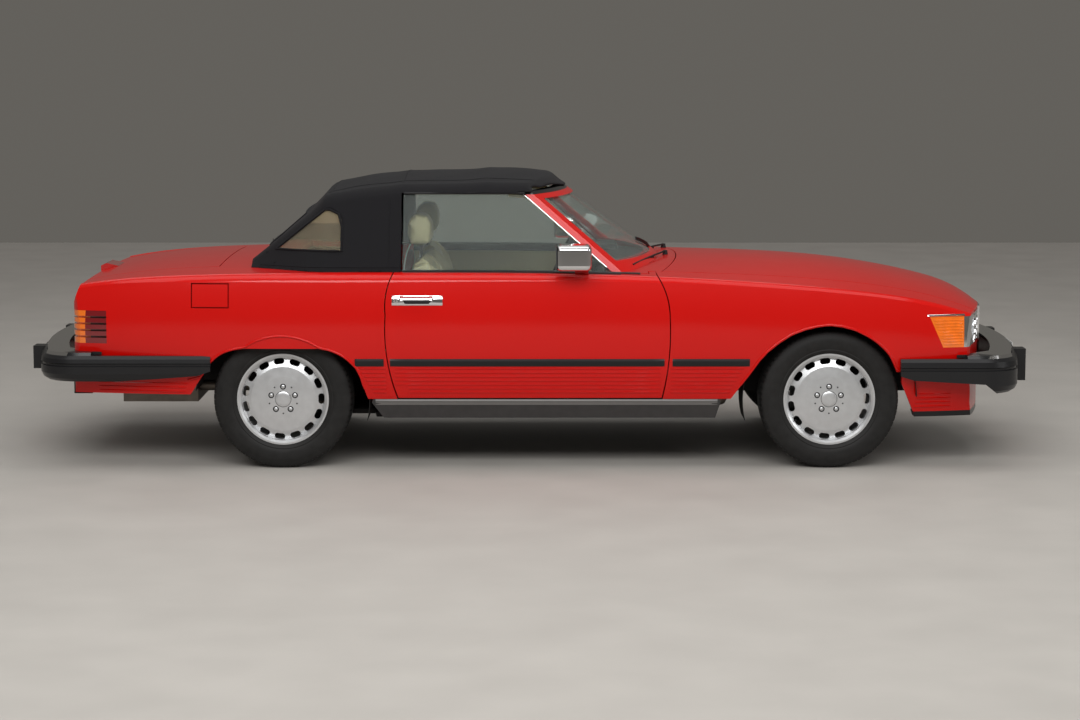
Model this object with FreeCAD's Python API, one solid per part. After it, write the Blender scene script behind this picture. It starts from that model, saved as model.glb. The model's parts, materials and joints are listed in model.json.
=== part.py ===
# Convertible car: a two-seat roadster with its soft top up, as an assembly of its panels and running gear.
# Millimetres. +X is forward, +Y is left, +Z is up. The origin is on the ground under the middle of the car.
import FreeCAD, Part
import math
import os

V = FreeCAD.Vector

# Running clearances
SHUT_GAP = 5.0
SEAT_GAP = 0.3
SWING_GAP = 9.0

# Whole length, from buffer to buffer
LENGTH = 4580.0

# Wheels and axles
WHEELBASE = 2455.0
FRONT_AXLE_X = 1348.0
REAR_AXLE_X = FRONT_AXLE_X - WHEELBASE
FRONT_TRACK = 1461.0
REAR_TRACK = 1465.0
TYRE_R = 313.0
TYRE_W = 205.0
RIM_R = 206.0
BEAD_R = 190.0
RIM_W = 184.0
BARREL_R = 185.0
SLOT_COUNT = 15
SLOT_RING_R = 171.0
SLOT_LENGTH = 48.0
SLOT_WIDTH = 27.0
BOLT_COUNT = 5
BOLT_RING_R = 56.0
BOLT_HOLE_R = 7.5
BOLT_DEPTH = 54.0
SPINDLE_R = 24.0
BRAKE_R = 138.0
BRAKE_T = 22.0
KINGPIN_Y = 700.0

# Body shell
PANEL_T = 25.0
NOSE_X = 2108.0
NOSE_CORNER_X = 1990.0
NOSE_CORNER_Y = 745.0
TAIL_X = -2100.0
TAIL_CORNER_X = -2052.0
TAIL_CORNER_Y = 700.0
TAIL_TOP_X = -2016.0
TAIL_TOP_Z = 830.0
TAIL_KNEE_X = -2104.0
TAIL_KNEE_Z = 610.0
CORNER_RUN = 90.0
CORNER_BULGE = 26.0
TAIL_CORNER_RUN = 112.0
BELLY_Z = 520.0
FOOT_Z = 330.0
UNDER_Z = 226.0
UNDER_TUCK = 45.0
REACH = 3000.0
LOFT_DEGREE = 3

# Doors
DOOR_INNER_Y = 776.0
DOOR_SKIN_T = 30.0
DOOR_STEP = 24.0
DOOR_FOOT_Z = 322.0
HINGE_OUT_Y = 836.0
HINGE_IN_Y = 790.0
HINGE_H = 44.0
HINGE_ZS = (450.0, 690.0)
COWL_SIDE_X = 535.0
SILL_TOP_Z = DOOR_FOOT_Z - SHUT_GAP
SILL_INNER_Y = 690.0

# Lids
BONNET_REAR_X = 600.0
BONNET_REAR_BOW = 95.0
BONNET_REAR_Y = 700.0
BONNET_FRONT_Y = 640.0
BONNET_LIP_Z = 694.0
BOOT_FRONT_X = -1417.0
BOOT_HALF_W = 560.0
BOOT_FOOT_Z = 566.0
BOOT_HINGE_Y = 380.0
BOOT_HINGE_W = 70.0
BOOT_PIN_R = 2.2
BOOT_PIN_Z = 890.0
COVER_FRONT_X = -1085.0
COVER_HALF_W = 655.0
FLAP_X0 = -1506.0
FLAP_X1 = -1341.0
FLAP_Z0 = 732.0
FLAP_Z1 = 838.0
FLAP_T = 8.0
POCKET_T = 20.0
CAP_R = 36.0

# Lamps and bumpers
LAMP_Z0 = 548.0
LAMP_Z1 = 686.0
LAMP_INNER_Y = 345.0
SIDE_LAMP_X = 1792.0
BEZEL_X = 1951.0
GRILLE_HALF_W = 335.0
GRILLE_Z0 = 452.0
GRILLE_Z1 = 686.0
TAIL_LAMP_Z0 = 565.0
TAIL_LAMP_Z1 = 712.0
TAIL_LAMP_X = -1895.0
TAIL_LAMP_SIDE_Y = 778.0
BRAKE_LAMP_X = -2032.0
BRAKE_LAMP_HALF_W = 95.0
BUMPER_SPLIT_Z = 440.0
BUMPER_FRONT_X = 2282.0
BUMPER_END_X = 1660.0
BUMPER_REAR_X = -2282.0
BUMPER_REAR_END_X = -1425.0
BUMPER_Z0 = 405.0
BUMPER_Z1 = 500.0
REAR_BUMPER_Z0 = 398.0
REAR_BUMPER_Z1 = 514.0
BUMPER_T = 95.0
BUMPER_SIDE_T = 40.0
BUMPER_HALF_W = 889.0
BUMPER_BOW = 75.0
BUMPER_GAP = 2.0
BUMPER_TURN = 170.0
BUFFER_Y = 430.0
BUFFER_HALF_W = 45.0
BUFFER_Z0 = 342.0
GROOVE_Z = 454.0
GROOVE_H = 16.0
GROOVE_T = 6.0
BLADE_FRONT_X = 1960.0
BLADE_REAR_X = -1960.0
BLADE_DEPTH = 100.0
BLADE_T = 14.0
NOSE_SPLIT_Y = 700.0
TAIL_SPLIT_Z = 402.0
VALANCE_Z = 335.0
LIP_REAR_X = 1700.0
LIP_W = 60.0
LAMP_DEPTH = 60.0
LAMP_R = 64.0
LAMP_DOME_R = 210.0
LAMP_YS = (455.0, 625.0)
TAIL_RIBS = 5
RIB_GAP = 9.0
RIB_DEPTH = 7.0
GRILLE_RIM = 16.0
GRILLE_PROUD = 10.0
SLAT_COUNT = 6
SLAT_T = 6.0
BOSS_R = 62.0

# Windscreen and glass
SCREEN_BASE_X = 648.0
SCREEN_BASE_SIDE_X = 418.0
SCREEN_BASE_Y = 766.0
SCREEN_BASE_Z = 880.0
SCREEN_TOP_X = 157.0
SCREEN_TOP_SIDE_X = 2.0
SCREEN_TOP_Y = 627.0
SCREEN_TOP_Z = 1236.0
TOP_OVERHANG = 12.0
SCREEN_FRAME_T = 44.0
SCREEN_GLASS_T = 6.0
PILLAR_W = 46.0
HEADER_H = 34.0
BELT_Z = 884.0
GLASS_BELT_Y = 803.0
GLASS_TOP_Z = 1221.0
GLASS_TOP_Y = 648.0
GLASS_T = 5.0
GLASS_SINK = 26.0
GLASS_Z0 = 926.0
DOOR_GLASS_REAR_X = -568.0
MIRROR_X0 = 119.0
MIRROR_X1 = 276.0
MIRROR_IN_Y = 850.0
MIRROR_OUT_Y = 1005.0
MIRROR_Z0 = 905.0
MIRROR_Z1 = 1018.0
MIRROR_ROUND = 24.0
MIRROR_FOOT_Y = 822.0
MIRROR_SEAT_Z = 884.0

# Soft top
TOP_T = 20.0

# Cabin
FLOOR_Z = 215.0
FLOOR_T = 22.0
TUNNEL_HALF_W = 140.0
TUNNEL_Z = 430.0
FIREWALL_X = 650.0
FIREWALL_T = 30.0
RAIL_Y = 400.0
RAIL_FRONT_X = 2030.0
BULKHEAD_X = -860.0
BULKHEAD_T = 24.0
SEAT_Y = 395.0
SEAT_W = 488.0
BOLSTER_W = 90.0
WHEEL_HUB = V(140.0, 375.0, 800.0)
COLUMN_TILT = 24.0
STEERING_R = 200.0
STEERING_GRIP_R = 14.0
SHAFT_REACH = 59.0
TUNNEL_T = 12.0
WALL_T = 10.0
RAIL_Z0 = 300.0
RAIL_Z1 = 400.0
BOOT_FLOOR_Z = 400.0
BOOT_WALL_Y = 585.0
SHELF_Z = 780.0
SHELF_LOW_Z = 620.0
SHELF_FRONT_X = -640.0
SHELF_T = 15.0
BOOT_REAR_X = -2040.0
TOW_EYE_X = -2092.0
TOW_EYE_Z = 308.0
DASH_HALF_W = 700.0
ENGINE_REAR_X = 830.0
MEMBER_TOP_Z = 320.0
DIFF_L = 165.0
ARM_LOW_Z = 200.0
ARM_HIGH_Z = 430.0
JOINT_RISE = 24.0
SPINDLE_REACH = 50.0

# Body stations, front to rear. Columns: x, centre z, crest y, crest z, crease y, crease z, belly y, foot y
BODY_STATIONS = [
    (2150.0, 652.0, 690.0, 646.0, 735.0, 632.0, 748.0, 706.0),
    (1950.0, 778.0, 745.0, 708.0, 800.0, 690.0, 812.0, 770.0),
    (1650.0, 846.0, 800.0, 780.0, 850.0, 764.0, 862.0, 820.0),
    (1250.0, 894.0, 820.0, 825.0, 871.0, 808.0, 882.0, 840.0),
    (600.0, 906.0, 828.0, 867.0, 876.0, 844.0, 887.0, 846.0),
    (-600.0, 908.0, 828.0, 884.0, 876.0, 846.0, 887.0, 846.0),
    (-1200.0, 906.0, 822.0, 882.0, 870.0, 846.0, 881.0, 840.0),
    (-1700.0, 884.0, 775.0, 864.0, 832.0, 842.0, 844.0, 800.0),
    (-2120.0, 808.0, 690.0, 802.0, 745.0, 788.0, 762.0, 720.0),
]

# Soft top sections, front to rear. Columns: x, centre z, shoulder y, shoulder z, rail y, rail z, foot y
ROOF_STATIONS = [
    (175.0, 1252.0, 520.0, 1247.0, 642.0, 1226.0, 814.0),
    (70.0, 1289.0, 530.0, 1266.0, 650.0, 1231.0, 814.0),
    (-285.0, 1299.0, 540.0, 1272.0, 656.0, 1232.0, 814.0),
    (-620.0, 1287.0, 530.0, 1262.0, 650.0, 1222.0, 812.0),
    (-930.0, 1232.0, 505.0, 1212.0, 615.0, 1172.0, 808.0),
]
BACK_STATIONS = [
    (-930.0, 1232.0, 505.0, 1212.0, 615.0, 1172.0, 808.0),
    (-1000.0, 1160.0, 505.0, 1136.0, 618.0, 1096.0, 790.0),
    (-1262.0, 922.0, 520.0, 918.0, 600.0, 908.0, 640.0),
]
TOP_FOOT_Z = 886.0


def box(x0, x1, y0, y1, z0, z1):
    """A block between two corners."""
    return Part.makeBox(x1 - x0, y1 - y0, z1 - z0, V(x0, y0, z0))


def path(points, place):
    """A closed wire of lines and arcs. A point of four numbers is an arc: its middle, then its end."""
    edges = []
    last = place(*points[0][-2:])
    for point in points[1:] + [points[0]]:
        end = place(*point[-2:])
        if len(point) == 4:
            edges.append(Part.Arc(last, place(*point[:2]), end).toShape())
        elif (end - last).Length > 1e-6:
            edges.append(Part.LineSegment(last, end).toShape())
        last = end
    return Part.Wire(edges)


def side_prism(points, y0, y1):
    """A side-view outline in x and z, carried across from y0 to y1."""
    wire = path(points, lambda x, z: V(x, y0, z))
    return Part.Face(wire).extrude(V(0, y1 - y0, 0))


def plan_prism(points, z0, z1):
    """A plan-view outline in x and y, carried up from z0 to z1."""
    wire = path(points, lambda x, y: V(x, y, z0))
    return Part.Face(wire).extrude(V(0, 0, z1 - z0))


def front_prism(points, x0, x1):
    """A front-view outline in y and z, carried along from x0 to x1."""
    wire = path(points, lambda y, z: V(x0, y, z))
    return Part.Face(wire).extrude(V(x1 - x0, 0, 0))


def other_side(shape):
    """The same piece on the other side of the car."""
    return shape.mirror(V(0, 0, 0), V(0, 1, 0))


def pair(shape):
    """A piece and its twin, as solids that do not touch."""
    return Part.Compound(shape.Solids + other_side(shape).Solids)


def join(shapes):
    """One solid of overlapping or touching shapes."""
    whole = shapes[0].multiFuse(shapes[1:]).removeSplitter()
    return whole


def rod(start, end, radius):
    """A round bar between two points."""
    run = end - start
    return Part.makeCylinder(radius, run.Length, start, run)


def bar(start, end, width, height):
    """A rectangular bar between two points, its width level."""
    run = end - start
    along = V(run).normalize()
    across = along.cross(V(0, 0, 1)).normalize()
    up = across.cross(along)
    corners = []
    for side, rise in ((-1, -1), (1, -1), (1, 1), (-1, 1)):
        corners.append(start + across * (side * width / 2) + up * (rise * height / 2))
    wire = Part.makePolygon(corners + corners[:1])
    return Part.Face(wire).extrude(run)


def save(name, shape):
    """Write one node, as a single solid where it has only one."""
    solids = shape.Solids
    out = solids[0] if len(solids) == 1 else Part.Compound(solids)
    out.exportStep("parts/" + name + ".step")
    print(name, len(solids), round(out.Volume / 1e6, 2), out.isValid())


# The outer form and the lines that split it

def body_section(station, inset):
    """One cross section of the body: a crowned top, a shoulder, a bowed side and a tucked-in foot."""
    x, centre_z, crest_y, crest_z, crease_y, crease_z, belly_y, foot_y = station
    crest_y, crease_y, belly_y, foot_y = [y - inset for y in (crest_y, crease_y, belly_y, foot_y)]
    centre_z, crest_z, crease_z = centre_z - inset, crest_z - inset, crease_z - inset
    under_z = UNDER_Z + inset
    under_y = foot_y - UNDER_TUCK
    shoulder_y = (crest_y + crease_y) / 2 + 7
    shoulder_z = (crest_z + crease_z) / 2 + 7
    outline = [
        (-shoulder_y, shoulder_z, -crest_y, crest_z),
        (0, centre_z, crest_y, crest_z),
        (shoulder_y, shoulder_z, crease_y, crease_z),
        (belly_y, BELLY_Z, foot_y, FOOT_Z),
        (under_y, under_z),
        (-under_y, under_z),
        (-foot_y, FOOT_Z),
        (-belly_y, BELLY_Z, -crease_y, crease_z),
    ]
    return path(outline, lambda y, z: V(x, y, z))


def plan_limit(inset):
    """The bowed nose and tail with their rounded corners, seen from above."""
    nose_x, nose_y = NOSE_CORNER_X - inset, NOSE_CORNER_Y - inset
    tail_x, tail_y = TAIL_CORNER_X + inset, TAIL_CORNER_Y - inset
    bend = CORNER_RUN - CORNER_BULGE
    outline = [
        (nose_x - CORNER_BULGE, -nose_y - bend, nose_x, -nose_y),
        (NOSE_X - inset, 0, nose_x, nose_y),
        (nose_x - CORNER_BULGE, nose_y + bend, nose_x - CORNER_RUN, nose_y + CORNER_RUN),
        (nose_x - 2 * CORNER_RUN, REACH),
        (tail_x + 2 * CORNER_RUN, REACH),
        (tail_x + CORNER_RUN, tail_y + TAIL_CORNER_RUN),
        (tail_x + CORNER_BULGE, tail_y + TAIL_CORNER_RUN - CORNER_BULGE, tail_x, tail_y),
        (TAIL_X + inset, 0, tail_x, -tail_y),
        (tail_x + CORNER_BULGE, -tail_y - TAIL_CORNER_RUN + CORNER_BULGE,
         tail_x + CORNER_RUN, -tail_y - TAIL_CORNER_RUN),
        (tail_x + 2 * CORNER_RUN, -REACH),
        (nose_x - 2 * CORNER_RUN, -REACH),
        (nose_x - CORNER_RUN, -nose_y - CORNER_RUN),
    ]
    return plan_prism(outline, 0, 1500)


def body_form(inset):
    """The closed outer form of the body, drawn in by an inset, with its raked tail."""
    sections = [body_section(station, inset) for station in BODY_STATIONS]
    form = Part.makeLoft(sections, True, False, False, LOFT_DEGREE).common(plan_limit(inset))
    slope = (TAIL_TOP_X - TAIL_KNEE_X) / (TAIL_TOP_Z - TAIL_KNEE_Z)
    top_z = 1000.0
    behind = side_prism([
        (TAIL_KNEE_X + inset, TAIL_KNEE_Z),
        (-REACH, TAIL_KNEE_Z),
        (-REACH, top_z),
        (TAIL_KNEE_X + inset + slope * (top_z - TAIL_KNEE_Z), top_z),
    ], -REACH, REACH)
    return form.cut(behind)


def door_outline(grow):
    """Side view of a door's shut line, grown outwards or, below zero, drawn in."""
    top = 930.0
    return [
        (-586 - grow, DOOR_FOOT_Z - grow),
        (-627 - grow, 470, -639 - grow, 700),
        (-630 - grow, 820, -575 - grow, top),
        (520 + grow, top),
        (602 + grow, 810, 625 + grow, 690),
        (620 + grow, 480, 593 + grow, DOOR_FOOT_Z - grow),
    ]


def wheel_arch(x_shift, outline):
    """The opening over a wheel, cut across from outside to the engine bay or boot wall."""
    points = [(point[0] + x_shift, point[1]) if len(point) == 2
              else (point[0] + x_shift, point[1], point[2] + x_shift, point[3]) for point in outline]
    return side_prism(points, -REACH / 2, REACH / 2)


FRONT_ARCH = [
     (-520, 200), (-489, 255), (-336, 469), (-190, 602, -15, 652), (150, 609, 267, 508),
     (382, 255), (400, 200),
]
REAR_ARCH = [
     (-455, 200), (-418, 330), (-316, 486), (-255, 530, -170, 549), (170, 549),
     (265, 517, 340, 446), (400, 270),
    (415, 200),
]


def bonnet_cut(grow):
    """Everything inside the bonnet's shut line, with its bowed rear edge, from its lip up."""
    rear_x = BONNET_REAR_X - grow
    rear_y, front_y = BONNET_REAR_Y + grow, BONNET_FRONT_Y + grow
    outline = [
        (rear_x + BONNET_REAR_BOW, 0, rear_x, -rear_y),
        (NOSE_CORNER_X, -front_y),
        (REACH, -front_y),
        (REACH, front_y),
        (NOSE_CORNER_X, front_y),
        (rear_x, rear_y),
    ]
    return plan_prism(outline, BONNET_LIP_Z - grow, 1500)


def boot_cut(grow):
    """Everything inside the boot lid's shut line: its top and its rear face between the tail lamps."""
    half_w = BOOT_HALF_W + grow
    return box(-REACH, BOOT_FRONT_X + grow, -half_w, half_w, BOOT_FOOT_Z - grow, 1500)


def cover_cut(grow):
    """Everything inside the outline of the cover over the soft top's well."""
    half = COVER_HALF_W + grow
    return box(BOOT_FRONT_X + SHUT_GAP, COVER_FRONT_X + grow, -half, half, 800, 1500)


def flap_cut(grow):
    """The fuel flap's outline in the right rear wing."""
    return box(FLAP_X0 - grow, FLAP_X1 + grow, -REACH, -600, FLAP_Z0 - grow, FLAP_Z1 + grow)


def lamp_space(grow):
    """The lamp opening in the nose, both sides: twin lamps and the side lamp round the corner."""
    right = side_prism([
        (SIDE_LAMP_X - grow, LAMP_Z1 + grow),
        (SIDE_LAMP_X + 62 - grow, LAMP_Z0 - grow),
        (REACH, LAMP_Z0 - grow),
        (REACH, LAMP_Z1 + grow),
    ], -REACH / 2, -LAMP_INNER_Y + grow)
    return right


def tail_lamp_space(grow):
    """The tail lamp opening round the rear corner of the right side."""
    return box(-REACH, TAIL_LAMP_X + grow, -REACH / 2, -BOOT_HALF_W - SHUT_GAP + grow,
               TAIL_LAMP_Z0 - grow, TAIL_LAMP_Z1 + grow)


def grille_space(grow):
    """The grille opening between the lamps."""
    half = GRILLE_HALF_W + grow
    return box(1700, REACH, -half, half, GRILLE_Z0 - grow, GRILLE_Z1 + grow)


# Body panels

def front_wing(skin, outer):
    """The right front wing with the post that the door hangs on."""
    region = join([
        box(COWL_SIDE_X + SEAT_GAP, 1400, -REACH, -100, SILL_TOP_Z + SEAT_GAP, 1500),
        box(1390, REACH, -REACH, -100, BUMPER_SPLIT_Z, 1500),
    ])
    post = outer.common(box(560, 700, -REACH, -DOOR_INNER_Y, SILL_TOP_Z + SEAT_GAP, 845))
    hinges = [box(560, 640, -HINGE_OUT_Y, -HINGE_IN_Y, z - HINGE_H / 2, z + HINGE_H / 2) for z in HINGE_ZS]
    door_hole = side_prism(door_outline(SHUT_GAP), -REACH, 0)
    wing = join([skin.common(region), post]).cut(door_hole)
    room = side_prism(door_outline(SEAT_GAP - DOOR_STEP), -REACH, 0)
    wing = join([wing] + [hinge.cut(room) for hinge in hinges])
    cutters = [
        bonnet_cut(SHUT_GAP),
        box(500, 800, -BONNET_REAR_Y - SEAT_GAP, 0, 300, 1500),
        box(1850, REACH, -NOSE_SPLIT_Y, 0, 300, LAMP_Z1),
        wheel_arch(FRONT_AXLE_X, FRONT_ARCH),
        lamp_space(0),
    ]
    return largest(wing.cut(cutters))


def rear_wing(skin, outer):
    """The right rear wing with the door's lock post and the fuel filler's pocket."""
    region = join([
        box(-1200, -560, -REACH, -100, SILL_TOP_Z + SEAT_GAP, 1500),
        box(-REACH, -1190, -REACH, -100, TAIL_SPLIT_Z, 1500),
    ])
    post = outer.common(box(-720, -560, -REACH, -DOOR_INNER_Y, SILL_TOP_Z + SEAT_GAP, 860))
    wing = join([skin.common(region), post])
    cutters = [
        boot_cut(SHUT_GAP),
        cover_cut(SEAT_GAP),
        box(COVER_FRONT_X, 0, -COVER_HALF_W, 0, 300, 1500),
        box(-REACH, -1800, -BOOT_HALF_W - SHUT_GAP, 0, 300, 1500),
        side_prism(door_outline(SHUT_GAP), -REACH, 0),
        wheel_arch(REAR_AXLE_X, REAR_ARCH),
        tail_lamp_space(0),
    ]
    return largest(wing.cut(cutters))


def largest(shape):
    """The biggest solid of a cut, without the slivers that a split line leaves behind."""
    return max(shape.Solids, key=lambda solid: solid.Volume)


def fuel_flap(outer):
    """The fuel flap, a thin piece of the wing's skin."""
    return largest(outer.cut(body_form(FLAP_T)).common(flap_cut(-SHUT_GAP / 2)))


def filler_pocket(outer, wing):
    """The right rear wing with the pocket behind its flap, the cap in it and the flap's rubber stop."""
    pocket = outer.cut(body_form(POCKET_T)).common(flap_cut(SHUT_GAP / 2))
    middle = V((FLAP_X0 + FLAP_X1) / 2, -600, (FLAP_Z0 + FLAP_Z1) / 2)
    cap = Part.makeCylinder(CAP_R, REACH, middle, V(0, -1, 0)).common(body_form(FLAP_T + SHUT_GAP))
    stop = box(FLAP_X0 + 12, FLAP_X0 + 24, -REACH, -600, middle.z - 6, middle.z + 6)
    stop = stop.common(body_form(FLAP_T + SEAT_GAP))
    filled = outer.cut(body_form(PANEL_T))
    return largest(join([wing.cut(pocket), cap.common(filled), stop.common(filled)]))


def sill(outer):
    """The right sill: the dark foot under the door, raked at both ends."""
    outline = [
        (-655, UNDER_Z), (-707, 300), (-700, SILL_TOP_Z), (852, SILL_TOP_Z), (859, 300), (837, UNDER_Z),
    ]
    reach = side_prism(outline, -REACH, -SILL_INNER_Y)
    cutters = [wheel_arch(FRONT_AXLE_X, FRONT_ARCH), wheel_arch(REAR_AXLE_X, REAR_ARCH)]
    return largest(outer.common(reach).cut(cutters))


def top_cover(skin):
    """The cover over the soft top's well, with the pins that the boot lid turns on along its rear edge."""
    cover = largest(skin.common(cover_cut(0)))
    pin_x = BOOT_FRONT_X + SHUT_GAP / 2
    pieces = [cover]
    for side in (-1, 1):
        y = side * BOOT_HINGE_Y - BOOT_HINGE_W / 2
        pieces.append(Part.makeCylinder(BOOT_PIN_R, BOOT_HINGE_W, V(pin_x, y, BOOT_PIN_Z), V(0, 1, 0)))
        pieces.append(box(pin_x, pin_x + SHUT_GAP, y, y + BOOT_HINGE_W, BOOT_PIN_Z - 1.5, BOOT_PIN_Z + 1.5))
    return join(pieces)


def cowl(skin):
    """The scuttle between bonnet and windscreen."""
    region = join([
        box(345, COWL_SIDE_X, -SCREEN_BASE_Y, SCREEN_BASE_Y, 800, 1500),
        box(COWL_SIDE_X - 1, 800, -BONNET_REAR_Y, BONNET_REAR_Y, 800, 1500),
    ])
    return largest(skin.common(region).cut(bonnet_cut(SHUT_GAP)))


def nose_panel(skin):
    """The front panel round the grille and under the lamps."""
    face = skin.common(box(1850, REACH, -NOSE_SPLIT_Y, NOSE_SPLIT_Y, BUMPER_SPLIT_Z, LAMP_Z1))
    return largest(face.cut([lamp_space(0), other_side(lamp_space(0)), grille_space(0)]))


def front_apron(skin):
    """The apron under the front bumper, with a rubber lip along its foot."""
    apron = skin.common(box(1670, REACH, -REACH, REACH, UNDER_Z + PANEL_T, BUMPER_SPLIT_Z))
    return largest(apron.cut([wheel_arch(FRONT_AXLE_X, FRONT_ARCH)] + bumper_brackets(SEAT_GAP)))


def apron_lip(skin):
    """The rubber lip along the apron's foot."""
    lip = skin.common(box(LIP_REAR_X, REACH, -REACH, REACH, UNDER_Z, UNDER_Z + PANEL_T - SEAT_GAP))
    inside = box(0, NOSE_CORNER_X - LIP_W, -NOSE_CORNER_Y + LIP_W, NOSE_CORNER_Y - LIP_W, 0, 1500)
    return largest(lip.cut([inside, wheel_arch(FRONT_AXLE_X, FRONT_ARCH)]))


def tail_panel(skin):
    """The panel under the boot lid with the valance that wraps round under the rear bumper."""
    region = join([
        box(-REACH, -1480, -REACH, REACH, VALANCE_Z, TAIL_SPLIT_Z),
        box(-REACH, -1900, -BOOT_HALF_W - SHUT_GAP, BOOT_HALF_W + SHUT_GAP, 390, BOOT_FOOT_Z - SHUT_GAP),
    ])
    eye = box(-REACH, 0, -RAIL_Y - 8 - SEAT_GAP, -RAIL_Y + 8 + SEAT_GAP, 0, BOOT_FLOOR_Z - 40 + SEAT_GAP)
    cutters = [wheel_arch(REAR_AXLE_X, REAR_ARCH), eye] + bumper_brackets(SEAT_GAP)
    return largest(skin.common(region).cut(cutters))


# Grille, lamps and bumpers

def bow(centre_x, side_x, half_w, y):
    """x at a place y on an arc that runs from a centre x back to a side x at half_w."""
    sag = centre_x - side_x
    radius = (half_w ** 2 + sag ** 2) / (2 * sag)
    return centre_x - radius + math.sqrt(radius ** 2 - y ** 2)


def nose_x(y):
    """x of the nose at a place y."""
    return bow(NOSE_X, NOSE_CORNER_X, NOSE_CORNER_Y, y)


def nose_slab(back, front, half_w, z0, z1):
    """A slab of the bowed nose between two depths."""
    side = nose_x(half_w)
    outline = [
        (side - back, half_w),
        (NOSE_X - back, 0, side - back, -half_w),
        (side + front, -half_w),
        (NOSE_X + front, 0, side + front, half_w),
    ]
    return plan_prism(outline, z0, z1)


def grille():
    """The chrome surround with its slats, thick middle bar and plain round boss, before the radiator."""
    half, low, high = GRILLE_HALF_W - SEAT_GAP, GRILLE_Z0 + SEAT_GAP, GRILLE_Z1 - SEAT_GAP
    pieces = [nose_slab(PANEL_T, GRILLE_PROUD, half, low, high)]
    window = nose_slab(REACH / 2, REACH / 2, half - GRILLE_RIM, low + GRILLE_RIM, high - GRILLE_RIM)
    surround = pieces[0].cut(window)
    pieces = [surround, nose_slab(70, -60, half, low, high)]
    for tie in (-1, 1):
        y0, y1 = sorted((tie * half, tie * (half - GRILLE_RIM)))
        pieces.append(nose_slab(65, -PANEL_T + 1, half, low, high).common(box(0, REACH, y0, y1, 0, 1500)))
    step = (high - low - 2 * GRILLE_RIM) / (SLAT_COUNT + 1)
    for index in range(1, SLAT_COUNT + 1):
        z = low + GRILLE_RIM + index * step
        pieces.append(nose_slab(30, -12, half - 4, z - SLAT_T / 2, z + SLAT_T / 2))
    middle = (low + high) / 2
    pieces.append(nose_slab(30, 2, half - 4, middle - 12, middle + 12))
    pieces.append(Part.makeCylinder(BOSS_R, 76, V(NOSE_X - 66, 0, middle), V(1, 0, 0)))
    return join(pieces)


def lamp_block(outer):
    """The right lamp unit before it is split: a deep piece of the nose behind its opening."""
    return largest(outer.cut(body_form(LAMP_DEPTH)).common(lamp_space(-SEAT_GAP)))


def headlamp(outer):
    """Twin round lamps in a recess of one bezel."""
    unit = lamp_block(outer).common(box(BEZEL_X, REACH, -REACH, 0, 0, 1500))
    middle_z = (LAMP_Z0 + LAMP_Z1) / 2
    lamps = []
    for lamp_y in LAMP_YS:
        face_x = nose_x(lamp_y)
        unit = unit.cut(Part.makeCylinder(LAMP_R + 5, 200, V(face_x - 30, -lamp_y, middle_z), V(1, 0, 0)))
        lamps.append(Part.makeCylinder(LAMP_R, 20, V(face_x - 32, -lamp_y, middle_z), V(1, 0, 0)))
        ball = Part.makeSphere(LAMP_DOME_R, V(face_x - 12 - LAMP_DOME_R + 10, -lamp_y, middle_z))
        barrel = Part.makeCylinder(LAMP_R, 60, V(face_x - 32, -lamp_y, middle_z), V(1, 0, 0))
        lamps.append(ball.common(barrel))
    return join([unit] + lamps)


def side_lamp(outer):
    """The amber lamp that wraps from the bezel round to the wing's side."""
    return largest(lamp_block(outer).common(box(0, BEZEL_X - SEAT_GAP, -REACH, 0, 0, 1500)))


def tail_lamp(outer):
    """The right tail lamp round the rear corner, with its deep horizontal ribs."""
    block = largest(outer.cut(body_form(LAMP_DEPTH)).common(tail_lamp_space(-SEAT_GAP)))
    pitch = (TAIL_LAMP_Z1 - TAIL_LAMP_Z0) / TAIL_RIBS
    core = plan_limit(RIB_DEPTH).common(box(-REACH, 0, -TAIL_LAMP_SIDE_Y, 0, 0, 1500))
    grooves = []
    for index in range(1, TAIL_RIBS):
        z = TAIL_LAMP_Z0 + index * pitch
        grooves.append(box(-REACH, TAIL_LAMP_X, -REACH, 0, z - RIB_GAP / 2, z + RIB_GAP / 2).cut(core))
    return largest(block.cut(grooves))


def brake_lamp(seated):
    """The high brake lamp on the boot lid, a low pod that narrows forwards."""
    outline = [
        (BRAKE_LAMP_X, 780), (BRAKE_LAMP_X, 852), (BRAKE_LAMP_X + 26, 864), (BRAKE_LAMP_X + 86, 850),
        (BRAKE_LAMP_X + 86, 780),
    ]
    return largest(side_prism(outline, -BRAKE_LAMP_HALF_W, BRAKE_LAMP_HALF_W).cut(seated))


def bumper_ring(end_x, front_x, half_w, depth, levels):
    """A bumper with a bowed front and round corners.

    Each level of its height has a z and an inset of its face.
    """
    sign = 1 if front_x > 0 else -1
    inner_w = half_w - BUMPER_SIDE_T
    bend = BUMPER_TURN * (1 - math.sqrt(0.5))
    wires = []
    for z, inset in levels:
        face_x, face_y = front_x - sign * inset, half_w - inset
        corner_x = face_x - sign * BUMPER_BOW
        turn_x = corner_x - sign * BUMPER_TURN
        inner_x = front_x - sign * (BUMPER_BOW + depth)
        outline = [
            (end_x, -face_y),
            (turn_x, -face_y),
            (corner_x - sign * bend, -face_y + bend, corner_x, -face_y + BUMPER_TURN),
            (face_x, 0, corner_x, face_y - BUMPER_TURN),
            (corner_x - sign * bend, face_y - bend, turn_x, face_y),
            (end_x, face_y),
            (end_x, inner_w),
            (inner_x - sign * BUMPER_TURN, inner_w),
            (inner_x, half_w - BUMPER_TURN - BUMPER_SIDE_T),
            (front_x - sign * depth, 0, inner_x, -half_w + BUMPER_TURN + BUMPER_SIDE_T),
            (inner_x - sign * BUMPER_TURN, -inner_w),
            (end_x, -inner_w),
        ]
        wires.append(path(outline, lambda x, y, z=z: V(x, y, z)))
    return Part.makeLoft(wires, True, True)


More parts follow.
